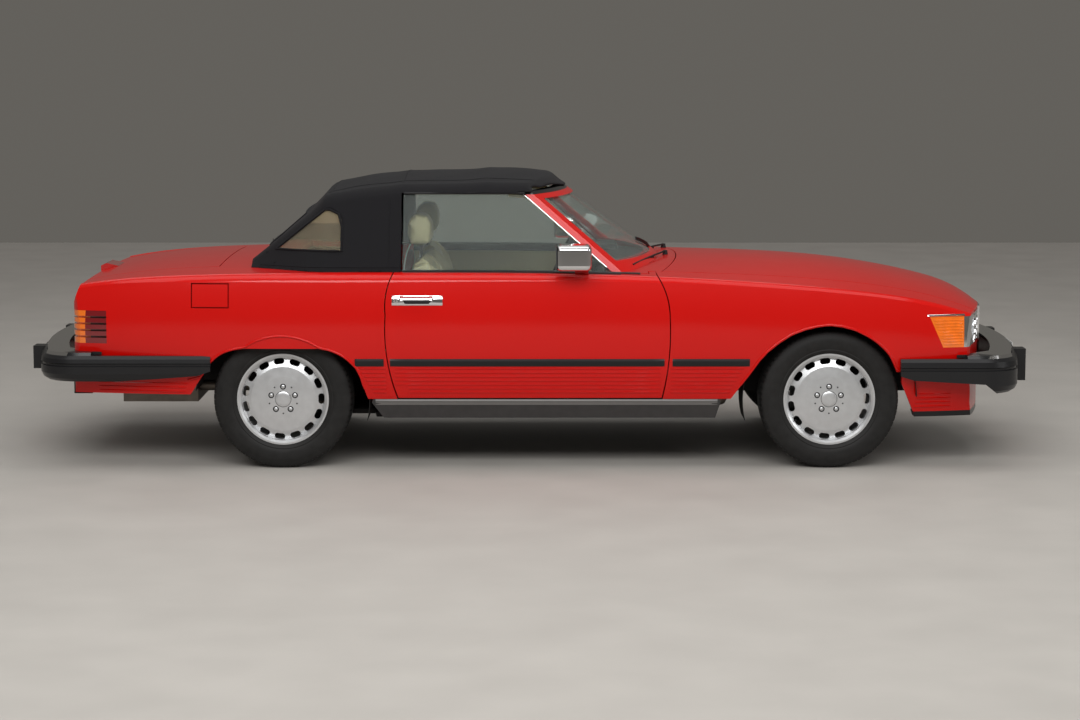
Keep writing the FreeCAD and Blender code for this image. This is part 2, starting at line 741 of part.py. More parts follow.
def rubber_levels(z0, z1, groove_z):
    """Heights and insets of a rubber bumper's face: rounded edges and a groove along its middle."""
    return [
        (z0, 26), (z0 + 14, 9), (z0 + 36, 0), (groove_z - GROOVE_H / 2, 0),
        (groove_z - GROOVE_H / 2 + 4, GROOVE_T),
        (groove_z + GROOVE_H / 2 - 4, GROOVE_T), (groove_z + GROOVE_H / 2, 0), (z1 - 14, 3), (z1, 16),
    ]


def bumper_brackets(grow):
    """The four bumper brackets, front pair first, or grown the holes that they pass through."""
    brackets = []
    for side in (-1, 1):
        y0, y1 = side * RAIL_Y - 22 - grow, side * RAIL_Y + 22 + grow
        brackets.append(box(RAIL_FRONT_X + SEAT_GAP, BUMPER_FRONT_X - 90, y0, y1, 348 - grow, 392 + grow))
    for side in (-1, 1):
        y0, y1 = side * RAIL_Y - 22 - grow, side * RAIL_Y + 22 + grow
        brackets.append(box(BUMPER_REAR_X + 90, BOOT_REAR_X - SEAT_GAP, y0, y1, 430 - grow, 480 + grow))
    return brackets


def buffers(x0, x1, z0, z1):
    """The two rubber buffers of a bumper."""
    pieces = []
    for side in (-1, 1):
        y = side * BUFFER_Y
        pieces.append(box(x0, x1, y - BUFFER_HALF_W, y + BUFFER_HALF_W, z0, z1))
    return pieces


def front_bumper(body):
    """The front rubber bumper with its groove, a foot that deepens forwards and two rubber buffers."""
    levels = rubber_levels(BUFFER_Z0, BUMPER_Z1, GROOVE_Z)
    ring = bumper_ring(BUMPER_END_X, BUMPER_FRONT_X, BUMPER_HALF_W, BUMPER_T, levels)
    under = side_prism([
        (BUMPER_END_X - 10, 300), (BUMPER_END_X - 10, BUMPER_Z0 + 22), (BUMPER_END_X + 60, BUMPER_Z0),
        (BUMPER_END_X + 380, BUMPER_Z0 - 18), (BUMPER_END_X + 490, 300),
    ], -REACH, REACH)
    face = buffers(BUMPER_FRONT_X - 110, LENGTH / 2, BUFFER_Z0 + 12, BUMPER_Z1)
    whole = join([ring.cut(under)] + face).cut(body)
    return largest(join([whole] + bumper_brackets(0)[:2]))


def rear_bumper(body):
    """The rear rubber bumper with its groove and buffers."""
    levels = rubber_levels(REAR_BUMPER_Z0, REAR_BUMPER_Z1, GROOVE_Z + 20)
    ring = bumper_ring(BUMPER_REAR_END_X, BUMPER_REAR_X, BUMPER_HALF_W - 4, BUMPER_T, levels)
    under = side_prism([
        (BUMPER_REAR_END_X + 10, 300), (BUMPER_REAR_END_X + 10, BUMPER_Z0 + 45),
        (BUMPER_REAR_END_X - 60, BUMPER_Z0 + 20),
        (BUMPER_REAR_END_X - 560, BUMPER_Z0 - 18), (BUMPER_REAR_END_X - 650, 300),
    ], -REACH, REACH)
    face = buffers(-LENGTH / 2, BUMPER_REAR_X + 110, REAR_BUMPER_Z0 + 12, REAR_BUMPER_Z1)
    whole = join([ring.cut(under)] + face).cut(body)
    return largest(join([whole] + bumper_brackets(0)[2:]))


def bumper_blades(body):
    """The chrome plates on top of the bumpers, between rubber and body."""
    front = bumper_ring(BLADE_FRONT_X, BUMPER_FRONT_X - 20, BUMPER_HALF_W - 20, BLADE_DEPTH,
                        [(BUMPER_Z1, 0), (BUMPER_Z1 + BLADE_T, 6)])
    rear = bumper_ring(BLADE_REAR_X, BUMPER_REAR_X + 20, BUMPER_HALF_W - 24, BLADE_DEPTH,
                       [(REAR_BUMPER_Z1, 0), (REAR_BUMPER_Z1 + BLADE_T, 6)])
    return Part.Compound([largest(front.cut(body)), largest(rear.cut(body))])


# Windscreen, glass and soft top

def screen_at(z):
    """Half width, centre x and side x of the windscreen's outer face at a height."""
    share = (z - SCREEN_BASE_Z) / (SCREEN_TOP_Z - SCREEN_BASE_Z)
    half = SCREEN_BASE_Y + share * (SCREEN_TOP_Y - SCREEN_BASE_Y)
    centre = SCREEN_BASE_X + share * (SCREEN_TOP_X - SCREEN_BASE_X)
    side = SCREEN_BASE_SIDE_X + share * (SCREEN_TOP_SIDE_X - SCREEN_BASE_SIDE_X)
    return half, centre, side


def screen_slab(back, front, trim, z0, z1):
    """A curved slab of the windscreen's form between two depths, trimmed at both sides."""
    wires = []
    for z in (z0, z1):
        half, centre, side = screen_at(z)
        edge_y = half - trim
        edge_x = bow(centre, side, half, edge_y)
        outline = [
            (edge_x - back, edge_y),
            (centre - back, 0, edge_x - back, -edge_y),
            (edge_x + front, -edge_y),
            (centre + front, 0, edge_x + front, edge_y),
        ]
        wires.append(path(outline, lambda x, y, z=z: V(x, y, z)))
    return Part.makeLoft(wires, True, True)


def windscreen_frame():
    """Pillars, header and base rail, seated on the cowl."""
    slab = screen_slab(SCREEN_FRAME_T, 0, 0, SCREEN_BASE_Z - 20, SCREEN_TOP_Z)
    frame_t = SCREEN_FRAME_T * 3
    opening = screen_slab(frame_t, frame_t, PILLAR_W, GLASS_Z0, SCREEN_TOP_Z - HEADER_H)
    return largest(slab.cut([opening, body_form(-SEAT_GAP)]))


def windscreen_glass():
    """The bowed glass in the frame's opening."""
    back = SCREEN_FRAME_T / 2
    return screen_slab(back, SCREEN_GLASS_T - back, PILLAR_W + SEAT_GAP, GLASS_Z0 + SEAT_GAP,
                       SCREEN_TOP_Z - HEADER_H - SEAT_GAP)


def top_section(station, inset, foot_z):
    """One cross section of the soft top: a crowned roof, a rounded rail and straight sides."""
    x, centre_z, shoulder_y, shoulder_z, rail_y, rail_z, foot_y = station
    centre_z, shoulder_z = centre_z - inset, shoulder_z - inset
    shoulder_y, rail_y, foot_y = shoulder_y - inset / 2, rail_y - inset, foot_y - inset
    bend_y = (shoulder_y + rail_y) / 2 + 12
    bend_z = (shoulder_z + rail_z) / 2 + 10
    outline = [
        (foot_y, foot_z),
        (rail_y, rail_z),
        (bend_y, bend_z, shoulder_y, shoulder_z),
        (0, centre_z, -shoulder_y, shoulder_z),
        (-bend_y, bend_z, -rail_y, rail_z),
        (-foot_y, foot_z),
    ]
    return path(outline, lambda y, z: V(x, y, z))


def top_form(inset, foot_z):
    """The soft top's closed outer form, drawn in by an inset."""
    rows = [top_section(row, inset, foot_z) for row in ROOF_STATIONS]
    roof = Part.makeLoft(rows, True, False, False, LOFT_DEGREE)
    back = Part.makeLoft([top_section(row, inset, foot_z) for row in BACK_STATIONS], True, True)
    form = roof.fuse(back)
    return form.common(box(BACK_STATIONS[-1][0] + inset, 400, -REACH, REACH, 0, 1500))


def quarter_window(grow):
    """Side view of the clear pane behind the door glass."""
    outline = [
        (-1150 - grow, 975 - grow), (-926 - grow, 1152 + grow), (-902, 1153 + grow),
        (-862, 1135, -845 + grow, 1083), (-843 + grow, 975 - grow),
    ]
    return side_prism(outline, -REACH / 2, REACH / 2)


def rear_window(grow):
    """Rear view of the clear pane in the soft top's back."""
    outline = [
        (-430 - grow, 978 - grow), (-410 - grow, 1120 + grow), (410 + grow, 1120 + grow),
        (430 + grow, 978 - grow),
    ]
    return front_prism(outline, BACK_STATIONS[-1][0] - 50, -960)


def soft_top(outer):
    """The closed soft top, open under its roof rail over each door."""
    shell = top_form(0, TOP_FOOT_Z).cut(top_form(TOP_T, TOP_FOOT_Z - 60))
    over_door = box(DOOR_GLASS_REAR_X - SWING_GAP, 600, -REACH, REACH, 700, GLASS_TOP_Z + SWING_GAP)
    ahead = screen_slab(-TOP_OVERHANG, REACH, -200, SCREEN_BASE_Z, 1400)
    frame = screen_slab(SCREEN_FRAME_T + SEAT_GAP, REACH, -200, SCREEN_BASE_Z, SCREEN_TOP_Z + SEAT_GAP)
    return largest(shell.cut([over_door, ahead, frame, quarter_window(0), rear_window(0), outer]))


def soft_top_windows():
    """The two quarter panes and the rear pane, following the cloth."""
    sheet = top_form(7, TOP_FOOT_Z).cut(top_form(11, TOP_FOOT_Z - 60))
    quarters = sheet.common(quarter_window(-SEAT_GAP)).cut(box(-1100, 0, -400, 400, 0, 1500))
    panes = [solid for solid in quarters.Solids if solid.Volume > 1000 and abs(solid.CenterOfMass.y) > 400]
    rear = largest(sheet.common(rear_window(-SEAT_GAP)))
    return Part.Compound(panes + [rear])


# Doors, as built on the right side

def glass_plane(x, z, shift):
    """A point of the door glass's leaning plane, shifted outwards."""
    lean = (GLASS_BELT_Y - GLASS_TOP_Y) / (GLASS_TOP_Z - BELT_Z)
    return V(x, -GLASS_BELT_Y + (z - BELT_Z) * lean - shift, z)


def glass_plate(grow, thick):
    """The door glass or, grown, the slot that it stands in."""
    half, centre, side = screen_at(GLASS_TOP_Z)
    top_x = side - SCREEN_FRAME_T - SWING_GAP
    half, centre, side = screen_at(BELT_Z)
    belt_x = side - SCREEN_FRAME_T - SWING_GAP
    outline = [
        (DOOR_GLASS_REAR_X - grow, BELT_Z - GLASS_SINK - grow),
        (belt_x + grow, BELT_Z - GLASS_SINK - grow),
        (belt_x + grow, BELT_Z),
        (top_x + grow, GLASS_TOP_Z),
        (DOOR_GLASS_REAR_X - grow, GLASS_TOP_Z),
    ]
    corners = [glass_plane(x, z, thick / 2) for x, z in outline]
    return Part.Face(Part.makePolygon(corners + corners[:1])).extrude(V(0, thick, 0))


def door(outer):
    """A whole door: its skin with the shut line, and the thinner box behind it."""
    skin = outer.cut(body_form(DOOR_SKIN_T)).common(side_prism(door_outline(0), -REACH, -DOOR_INNER_Y))
    inside = outer.common(side_prism(door_outline(-DOOR_STEP), -REACH, -DOOR_INNER_Y))
    glass_room = glass_plate(SEAT_GAP, GLASS_T + 2 * SEAT_GAP)
    return largest(join([largest(skin), largest(inside)]).cut(glass_room))


def door_mirror(body):
    """The mirror's housing on its foot, at the front of the door's top."""
    housing = box(MIRROR_X0, MIRROR_X1, -MIRROR_OUT_Y, -MIRROR_IN_Y, MIRROR_Z0, MIRROR_Z1)
    housing = housing.makeFillet(MIRROR_ROUND, housing.Edges)
    foot = bar(V(MIRROR_X1 - 40, -MIRROR_FOOT_Y, MIRROR_SEAT_Z),
               V(MIRROR_X1 - 45, -MIRROR_IN_Y - 40, MIRROR_Z0 + 30),
               60, 26)
    return largest(join([housing, foot]).cut(body))


# Structure and running gear

def floor_pan():
    """The cabin floor with its open tunnel and the bulkhead behind the seats."""
    half = SILL_INNER_Y - SEAT_GAP
    floor = box(BULKHEAD_X, FIREWALL_X, -half, half, FLOOR_Z, FLOOR_Z + FLOOR_T)
    tunnel = box(BULKHEAD_X, FIREWALL_X, -TUNNEL_HALF_W, TUNNEL_HALF_W, FLOOR_Z, TUNNEL_Z)
    bore = box(BULKHEAD_X - 50, FIREWALL_X + 50, -TUNNEL_HALF_W + TUNNEL_T, TUNNEL_HALF_W - TUNNEL_T, 0,
               TUNNEL_Z - TUNNEL_T)
    pan = join([floor, tunnel]).cut(bore)
    return largest(pan.cut(wheel_arch(REAR_AXLE_X, REAR_ARCH).common(box(-REACH, 0, 585, REACH, 0, 1500)))
                   .cut(wheel_arch(REAR_AXLE_X, REAR_ARCH).common(box(-REACH, 0, -REACH, -585, 0, 1500))))


def firewall(inner):
    """The wall between engine and cabin."""
    wall = box(FIREWALL_X + SEAT_GAP, FIREWALL_X + FIREWALL_T, -SILL_INNER_Y, SILL_INNER_Y, FLOOR_Z, 1500)
    bore = box(0, 1000, -TUNNEL_HALF_W + TUNNEL_T, TUNNEL_HALF_W - TUNNEL_T, 0, TUNNEL_Z - TUNNEL_T)
    return largest(wall.common(inner).cut(bore))


def engine_bay(inner):
    """The two front rails with the wheelhouse walls that stand on them."""
    pieces = []
    front = RAIL_FRONT_X
    start = FIREWALL_X + FIREWALL_T + SEAT_GAP
    rail = box(start, front, RAIL_Y - 30, RAIL_Y + 30, RAIL_Z0, RAIL_Z1)
    wall = box(start, front - 160, RAIL_Y + 30 - WALL_T, RAIL_Y + 30, RAIL_Z0, 1500)
    half = join([rail, wall]).common(inner)
    pieces = [half, other_side(half)]
    pieces.append(box(1905, 1945, -RAIL_Y - 30, RAIL_Y + 30, RAIL_Z0, RAIL_Z0 + 60))
    return join(pieces)


def boot_floor(inner):
    """The boot floor on its two rails, with the rear wall and the towing eye under it."""
    pieces = [
        box(BOOT_REAR_X, BULKHEAD_X - SEAT_GAP, -BOOT_WALL_Y, BOOT_WALL_Y,
            BOOT_FLOOR_Z, BOOT_FLOOR_Z + FLOOR_T),
        box(BOOT_REAR_X, BOOT_REAR_X + WALL_T, -BOOT_WALL_Y, BOOT_WALL_Y,
            BOOT_FLOOR_Z - 50, BOOT_FOOT_Z - SHUT_GAP),
    ]
    for side in (-1, 1):
        y0, y1 = side * RAIL_Y - 30, side * RAIL_Y + 30
        rail_x1 = BULKHEAD_X - BULKHEAD_T - 2 * SEAT_GAP
        pieces.append(box(BOOT_REAR_X, rail_x1, y0, y1, BOOT_FLOOR_Z - 50, BOOT_FLOOR_Z))
    floor = largest(join(pieces).common(inner).cut(rear_bulkhead(inner, SEAT_GAP)))
    eye = box(TOW_EYE_X - 24, TOW_EYE_X + 60, -RAIL_Y - 8, -RAIL_Y + 8, TOW_EYE_Z - 24, BOOT_FLOOR_Z - 40)
    hole = Part.makeCylinder(14, 60, V(TOW_EYE_X, -RAIL_Y - 30, TOW_EYE_Z), V(0, 1, 0))
    return join([floor, eye]).cut(hole)


def rear_bulkhead(inner, grow):
    """The wall between cabin and boot, or grown the room that it takes."""
    front = BULKHEAD_X - SEAT_GAP
    wall = box(front - BULKHEAD_T - grow, front + grow, -BOOT_WALL_Y, BOOT_WALL_Y,
               FLOOR_Z, SHELF_Z - SEAT_GAP + grow)
    bore = box(-REACH, 0, -TUNNEL_HALF_W + TUNNEL_T, TUNNEL_HALF_W - TUNNEL_T, 0, TUNNEL_Z - TUNNEL_T)
    return largest(wall.cut(bore).common(inner))


def boot_wall(inner):
    """The right wall of the boot, inside the rear wheel."""
    front = BULKHEAD_X - BULKHEAD_T - 2 * SEAT_GAP
    wall = box(-1885, front, -BOOT_WALL_Y, -BOOT_WALL_Y + WALL_T, BOOT_FLOOR_Z + FLOOR_T + SEAT_GAP, 1500)
    return largest(wall.common(inner))


def dashboard(inner):
    """The dashboard with the steering column in it."""
    outline = [
        (FIREWALL_X - SEAT_GAP, 600), (FIREWALL_X - SEAT_GAP, 880), (420, 878), (330, 850, 305, 790),
        (330, 720), (420, 640), (470, 600),
    ]
    body = side_prism(outline, -DASH_HALF_W, DASH_HALF_W).common(inner)
    tilt = math.radians(COLUMN_TILT)
    ahead = V(math.cos(tilt), 0, -math.sin(tilt))
    column = rod(WHEEL_HUB + ahead * 60, WHEEL_HUB + ahead * 330, 32)
    return join([body, column])


def steering_wheel():
    """Rim, four spokes, padded hub and shaft end."""
    ring = Part.makeTorus(STEERING_R - STEERING_GRIP_R, STEERING_GRIP_R)
    pieces = [ring, Part.makeCylinder(72, 40, V(0, 0, -40))]
    pieces.append(Part.makeCylinder(20, 30, V(0, 0, -SHAFT_REACH)))
    for angle in (-20, 200, 245, 295):
        turn = math.radians(angle)
        end = V(math.cos(turn), math.sin(turn), 0) * (STEERING_R - STEERING_GRIP_R)
        pieces.append(bar(V(0, 0, -18) + end * 0.2, end, 30, 12))
    wheel = join(pieces)
    wheel.rotate(V(0, 0, 0), V(0, 0, 1), -90)
    wheel.rotate(V(0, 0, 0), V(0, 1, 0), COLUMN_TILT - 90)
    wheel.translate(WHEEL_HUB)
    return wheel


def seat(side_y):
    """One seat: a cushion and back between raised bolsters, a base and a head restraint on two posts."""
    half = SEAT_W / 2
    foot_z = FLOOR_Z + FLOOR_T + SEAT_GAP
    cushion = [(150, 290), (170, 350), (150, 405, 90, 412), (-330, 380), (-370, 290)]
    bolster = [(150, 290), (175, 350), (150, 425, 85, 438), (-330, 425), (-370, 290)]
    back = [(-290, 330), (-330, 400), (-452, 905), (-490, 940, -545, 900), (-470, 400), (-430, 330)]
    wing = [(-270, 330), (-300, 420), (-390, 800), (-455, 925, -540, 880), (-470, 400), (-430, 330)]
    pieces = [
        side_prism(cushion, side_y - half + BOLSTER_W - 5, side_y + half - BOLSTER_W + 5),
        side_prism(back, side_y - half + BOLSTER_W - 5, side_y + half - BOLSTER_W + 5),
        side_prism([(90, foot_z), (90, 300), (-330, 300), (-330, foot_z)], side_y - 180, side_y + 180),
        side_prism([(-462, 992), (-456, 1090), (-500, 1130, -548, 1090), (-540, 985)],
                   side_y - 125, side_y + 125),
    ]
    for outer_y in (side_y - half, side_y + half - BOLSTER_W):
        pieces.append(side_prism(bolster, outer_y, outer_y + BOLSTER_W))
        pieces.append(side_prism(wing, outer_y, outer_y + BOLSTER_W))
    for post in (-60, 60):
        pieces.append(rod(V(-500, side_y + post, 890), V(-505, side_y + post, 1010), 7))
    return join(pieces)


def console():
    """The console on the tunnel with the gear lever's stub."""
    outline = [
        (-560, TUNNEL_Z), (-560, 560), (-200, 560), (-80, 500), (200, 500), (300, 590),
        (425, 620), (440, TUNNEL_Z),
    ]
    body = side_prism(outline, -95, 95)
    lever = rod(V(60, 0, 490), V(40, 0, 600), 9)
    knob = Part.makeSphere(24, V(38, 0, 612))
    return join([body, lever, knob])


def rear_shelf(inner):
    """The carpeted wall and stepped shelf behind the seats, up to the back of the soft top's well."""
    half = BOOT_WALL_Y - WALL_T - SEAT_GAP
    front, step = SHELF_FRONT_X, BULKHEAD_X + SEAT_GAP
    well = COVER_FRONT_X - SHELF_T
    outline = [
        (front, FLOOR_Z + FLOOR_T + SEAT_GAP), (front, SHELF_LOW_Z), (step + SHELF_T, SHELF_LOW_Z),
        (step + SHELF_T, SHELF_Z + SHELF_T), (COVER_FRONT_X, SHELF_Z + SHELF_T),
        (COVER_FRONT_X, 1000), (well, 1000),
        (well, SHELF_Z), (step, SHELF_Z), (step, SHELF_LOW_Z - SHELF_T),
        (front - SHELF_T, SHELF_LOW_Z - SHELF_T),
        (front - SHELF_T, FLOOR_Z + FLOOR_T + SEAT_GAP),
    ]
    tunnel = box(-REACH, 0, -TUNNEL_HALF_W - SEAT_GAP, TUNNEL_HALF_W + SEAT_GAP, 0, TUNNEL_Z + SEAT_GAP)
    return largest(side_prism(outline, -half, half).common(inner).cut(tunnel))


def engine():
    """The engine as one plain block, standing on the cross member."""
    outline = [(-170, 330), (-300, 560), (-260, 740), (260, 740), (300, 560), (170, 330)]
    block = front_prism(outline, ENGINE_REAR_X, ENGINE_REAR_X + 640)
    foot = box(FRONT_AXLE_X - 40, FRONT_AXLE_X + 30, -150, 150, MEMBER_TOP_Z, 340)
    return join([block, foot])


def driveline():
    """The gearbox in the tunnel and the propeller shaft to the rear axle."""
    box_front = Part.makeCylinder(125, 120, V(ENGINE_REAR_X - SEAT_GAP, 0, 385), V(-1, 0, 0))
    tail = Part.makeCone(98, 62, 520, V(ENGINE_REAR_X - 119, 0, 312), V(-1, 0, 0))
    shaft = rod(V(ENGINE_REAR_X - 600, 0, 312), V(REAR_AXLE_X + DIFF_L + SEAT_GAP, 0, 312), 36)
    return join([box_front.common(box(0, 900, -126, 126, 0, 900)), tail, shaft])


def front_suspension():
    """The cross member with the lower and upper arms."""
    x = FRONT_AXLE_X
    member = box(x - 70, x + 70, -RAIL_Y - 25, RAIL_Y + 25, RAIL_Z0 - 70, RAIL_Z0 - SEAT_GAP)
    middle = box(x - 60, x + 60, -150, 150, RAIL_Z0 - 70, MEMBER_TOP_Z - SEAT_GAP)
    pieces = [member, middle]
    for side in (-1, 1):
        pin_y = side * KINGPIN_Y
        low = V(x, pin_y, ARM_LOW_Z)
        high = V(x, pin_y, ARM_HIGH_Z)
        for reach in (-90, 90):
            pieces.append(bar(V(x + reach * 0.7, side * (RAIL_Y + 5), RAIL_Z0 - 40), low, 30, 20))
            pieces.append(bar(V(x + reach, side * (RAIL_Y + 40), ARM_HIGH_Z + 30), high, 22, 16))
        pieces.append(Part.makeCylinder(15, 13 + JOINT_RISE, low - V(0, 0, 13)))
        pieces.append(Part.makeCylinder(15, 20, high - V(0, 0, 8)))
        pieces.append(box(x - 110, x + 110, *sorted((side * (RAIL_Y + 30 + SEAT_GAP), side * (RAIL_Y + 50))),
                          ARM_HIGH_Z + 14, ARM_HIGH_Z + 46))
    return pieces


def rear_axle():
    """The rear beam with its final drive, trailing arms, half shafts and spindles."""
    x = REAR_AXLE_X
    pieces = [
        box(x + 100, x + 160, -470, 470, 262, BOOT_FLOOR_Z - 50 - SEAT_GAP),
        box(x - 120, x + DIFF_L, -110, 110, 232, BOOT_FLOOR_Z - SEAT_GAP),
    ]
    hub_y = REAR_TRACK / 2
    for side in (-1, 1):
        pieces.append(rod(V(x, side * 100, TYRE_R), V(x, side * (hub_y - 20), TYRE_R), SPINDLE_R - 4))
        pieces.append(rod(V(x, side * (hub_y - 80), TYRE_R), V(x, side * (hub_y + SPINDLE_REACH), TYRE_R),
                          SPINDLE_R))
        pieces.append(bar(V(x + 190, side * 440, 285), V(x, side * 545, 290), 70, 50))
        pieces.append(bar(V(x, side * 520, 290), V(x, side * 630, 313), 60, 60))
    return join(pieces)


def exhaust():
    """Pipes, rear box and twin tail pipes."""
    route = [V(960, -250, 380), V(900, -215, 230), V(690, -200, 186), V(-880, -200, 186),
             V(-1320, -230, 300),
             V(-1560, -230, 300)]
    pieces = [rod(a, b, 26) for a, b in zip(route, route[1:])]
    pieces += [Part.makeSphere(26, point) for point in route[1:-1]]
    pieces.append(box(-1900, -1550, -330, 130, 235, 345))
    for x in (-1860, -1610):
        pieces.append(box(x, x + 20, -110, -90, 344, BOOT_FLOOR_Z - SEAT_GAP))
    for y in (-60, 0):
        pieces.append(rod(V(-1899, y, 285), V(-2090, y, 285), 22))
    return join(pieces)


def knuckle():
    """The right steered upright with its spindle, in place."""
    y = -FRONT_TRACK / 2
    x = FRONT_AXLE_X
    spindle = rod(V(x, y + 45, TYRE_R), V(x, y - SPINDLE_REACH, TYRE_R), SPINDLE_R)
    low = ARM_LOW_Z + JOINT_RISE + SEAT_GAP
    high = ARM_HIGH_Z - 8 - SEAT_GAP
    upright = box(x - 32, x + 32, y + 17, y + 45, low, high)
    caliper = box(x - 165, x - 95, y + 17, y + 45, TYRE_R - 55, TYRE_R + 55)
    link = box(x - 100, x - 20, y + 22, y + 40, TYRE_R - 30, TYRE_R + 30)
    return join([spindle, upright, link, caliper])


# Wheels, drawn about their own centre with the outer face towards -Y

def revolved(profile):
    """A ring or disc from its half section, given as radius and outward place."""
    points = [V(radius, -out, 0) for radius, out in profile]
    face = Part.Face(Part.makePolygon(points + points[:1]))
    return face.revolve(V(0, 0, 0), V(0, 1, 0), 360)


def tyre_shape():
    """The tyre with its rounded shoulders, on its bead seats."""
    bead = BEAD_R + SEAT_GAP
    half = RIM_W / 2 - 10 - SEAT_GAP
    side = [
        (bead, half), (RIM_R + SEAT_GAP, half), (RIM_R + SEAT_GAP, half + 8), (214, 96), (240, TYRE_W / 2),
        (275, TYRE_W / 2), (300, 94), (TYRE_R, 76),
    ]
    return revolved(side + [(radius, -out) for radius, out in reversed(side)])


def rim_shape():
    """The rim with its domed disc, fifteen slots, hub and brake disc."""
    edge = RIM_W / 2
    seat = edge - 10
    disc = BRAKE_T / 2
    profile = [
        (0, 84), (36, 84), (100, 80), (145, 75), (180, 64), (186, 70), (187.5, 84),
        (198, edge), (RIM_R, edge),
        (RIM_R, seat), (BEAD_R, seat), (BEAD_R, -seat), (RIM_R, -seat), (RIM_R, -edge), (198, -edge),
        (BARREL_R, -78), (BARREL_R, 52), (150, 62), (70, 66), (70, disc), (BRAKE_R, disc), (BRAKE_R, -disc),
        (SPINDLE_R + 0.5, -disc), (SPINDLE_R + 0.5, SPINDLE_REACH + 2), (0, SPINDLE_REACH + 2),
    ]
    rim = revolved(profile)
    inner = SLOT_RING_R - SLOT_WIDTH / 2
    outer = SLOT_RING_R + SLOT_WIDTH / 2
    half_turn = (SLOT_LENGTH - SLOT_WIDTH) / 2 / SLOT_RING_R
    slots = []
    for index in range(SLOT_COUNT):
        middle = 2 * math.pi * index / SLOT_COUNT
        slots.append(slot(middle, half_turn, inner, outer))
    for index in range(BOLT_COUNT):
        turn = 2 * math.pi * index / BOLT_COUNT + math.pi / 2
        place = V(BOLT_RING_R * math.cos(turn), -BOLT_DEPTH, BOLT_RING_R * math.sin(turn))
        slots.append(Part.makeCylinder(BOLT_HOLE_R, 60, place, V(0, -1, 0)))
    return rim.cut(slots)


def slot(middle, half_turn, inner, outer):
    """One rounded slot through the rim's disc."""
    def at(radius, angle):
        return V(radius * math.cos(angle), -120, radius * math.sin(angle))
    start, end = middle - half_turn, middle + half_turn
    end_bulge = half_turn + (outer - inner) / 2 / SLOT_RING_R
    edges = [
        Part.Arc(at(inner, start), at(inner, middle), at(inner, end)).toShape(),
        Part.Arc(at(inner, end), at(SLOT_RING_R, middle + end_bulge), at(outer, end)).toShape(),
        Part.Arc(at(outer, end), at(outer, middle), at(outer, start)).toShape(),
        Part.Arc(at(outer, start), at(SLOT_RING_R, middle - end_bulge), at(inner, start)).toShape(),
    ]
    return Part.Face(Part.Wire(edges)).extrude(V(0, 75, 0))


def main():
    """Build every node and write it."""
    os.makedirs("parts", exist_ok=True)
    outer = body_form(0)
    skin = outer.cut(body_form(PANEL_T))
    inner = body_form(PANEL_T + SEAT_GAP)
    save("front_wings", pair(front_wing(skin, outer)))
    right_rear = rear_wing(skin, outer)
    left_rear = other_side(right_rear)
    save("rear_wings", Part.Compound([filler_pocket(outer, right_rear), left_rear]))
    save("sills", pair(sill(outer)))
    save("cowl", cowl(skin))
    save("nose_panel", nose_panel(skin))
    save("front_apron", front_apron(skin))
    save("apron_lip", apron_lip(skin))
    save("tail_panel", tail_panel(skin))
    save("top_cover", top_cover(skin))
    save("fuel_flap", fuel_flap(outer))
    save("bonnet", largest(skin.common(bonnet_cut(0))))
    save("boot_lid", largest(skin.common(boot_cut(0))))
    save("grille", grille())
    save("headlamps", pair(headlamp(outer)))
    save("side_lamps", pair(side_lamp(outer)))
    save("tail_lamps", pair(tail_lamp(outer)))
    seated = body_form(-SEAT_GAP)
    save("brake_lamp", brake_lamp(seated))
    clear_of_body = body_form(-BUMPER_GAP)
    save("front_bumper", front_bumper(clear_of_body))
    save("rear_bumper", rear_bumper(clear_of_body))
    save("bumper_blades", bumper_blades(clear_of_body))
    save("windscreen_frame", windscreen_frame())
    save("windscreen_glass", windscreen_glass())
    save("soft_top", soft_top(seated))
    save("soft_top_windows", soft_top_windows())
    right_door, glass, mirror = door(outer), glass_plate(0, GLASS_T), door_mirror(seated)
    for side, turn in (("right", lambda shape: shape), ("left", other_side)):
        save("door_" + side, turn(right_door))
        save("door_glass_" + side, turn(glass))
        save("mirror_" + side, turn(mirror))
    save("floor_pan", floor_pan())
    save("firewall", firewall(inner))
    save("engine_bay", engine_bay(inner))
    save("boot_floor", boot_floor(inner))
    save("rear_bulkhead", rear_bulkhead(inner, 0))
    save("boot_walls", pair(boot_wall(inner)))
    save("dashboard", dashboard(inner))
    save("steering_wheel", steering_wheel())
    save("seats", Part.Compound([seat(-SEAT_Y), seat(SEAT_Y)]))
    save("console", console())
    save("rear_shelf", rear_shelf(inner))
    save("engine", engine())
    save("driveline", driveline())
    save("front_suspension", join(front_suspension()))
    save("rear_axle", rear_axle())
    save("exhaust", exhaust())
    right_knuckle = knuckle()
    save("knuckle_right", right_knuckle)
    save("knuckle_left", other_side(right_knuckle))
    tyre, rim = tyre_shape(), rim_shape()
    for end, x, track in (("front", FRONT_AXLE_X, FRONT_TRACK), ("rear", REAR_AXLE_X, REAR_TRACK)):
        for side, turn in (("right", lambda shape: shape), ("left", other_side)):
            for name, shape in (("tyre", tyre), ("rim", rim)):
                placed = shape.copy()
                placed.translate(V(x, -track / 2, TYRE_R))
                save(name + "_" + end + "_" + side, turn(placed))


main()
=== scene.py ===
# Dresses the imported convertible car: finishes on every piece, and the trim too fine for its solids.
# Metres. +X is the car's front, +Y its left side, +Z up, with the ground at z = 0.
import bpy
import bmesh
import json
import math
from mathutils import Matrix, Vector
from mathutils.bvhtree import BVHTree


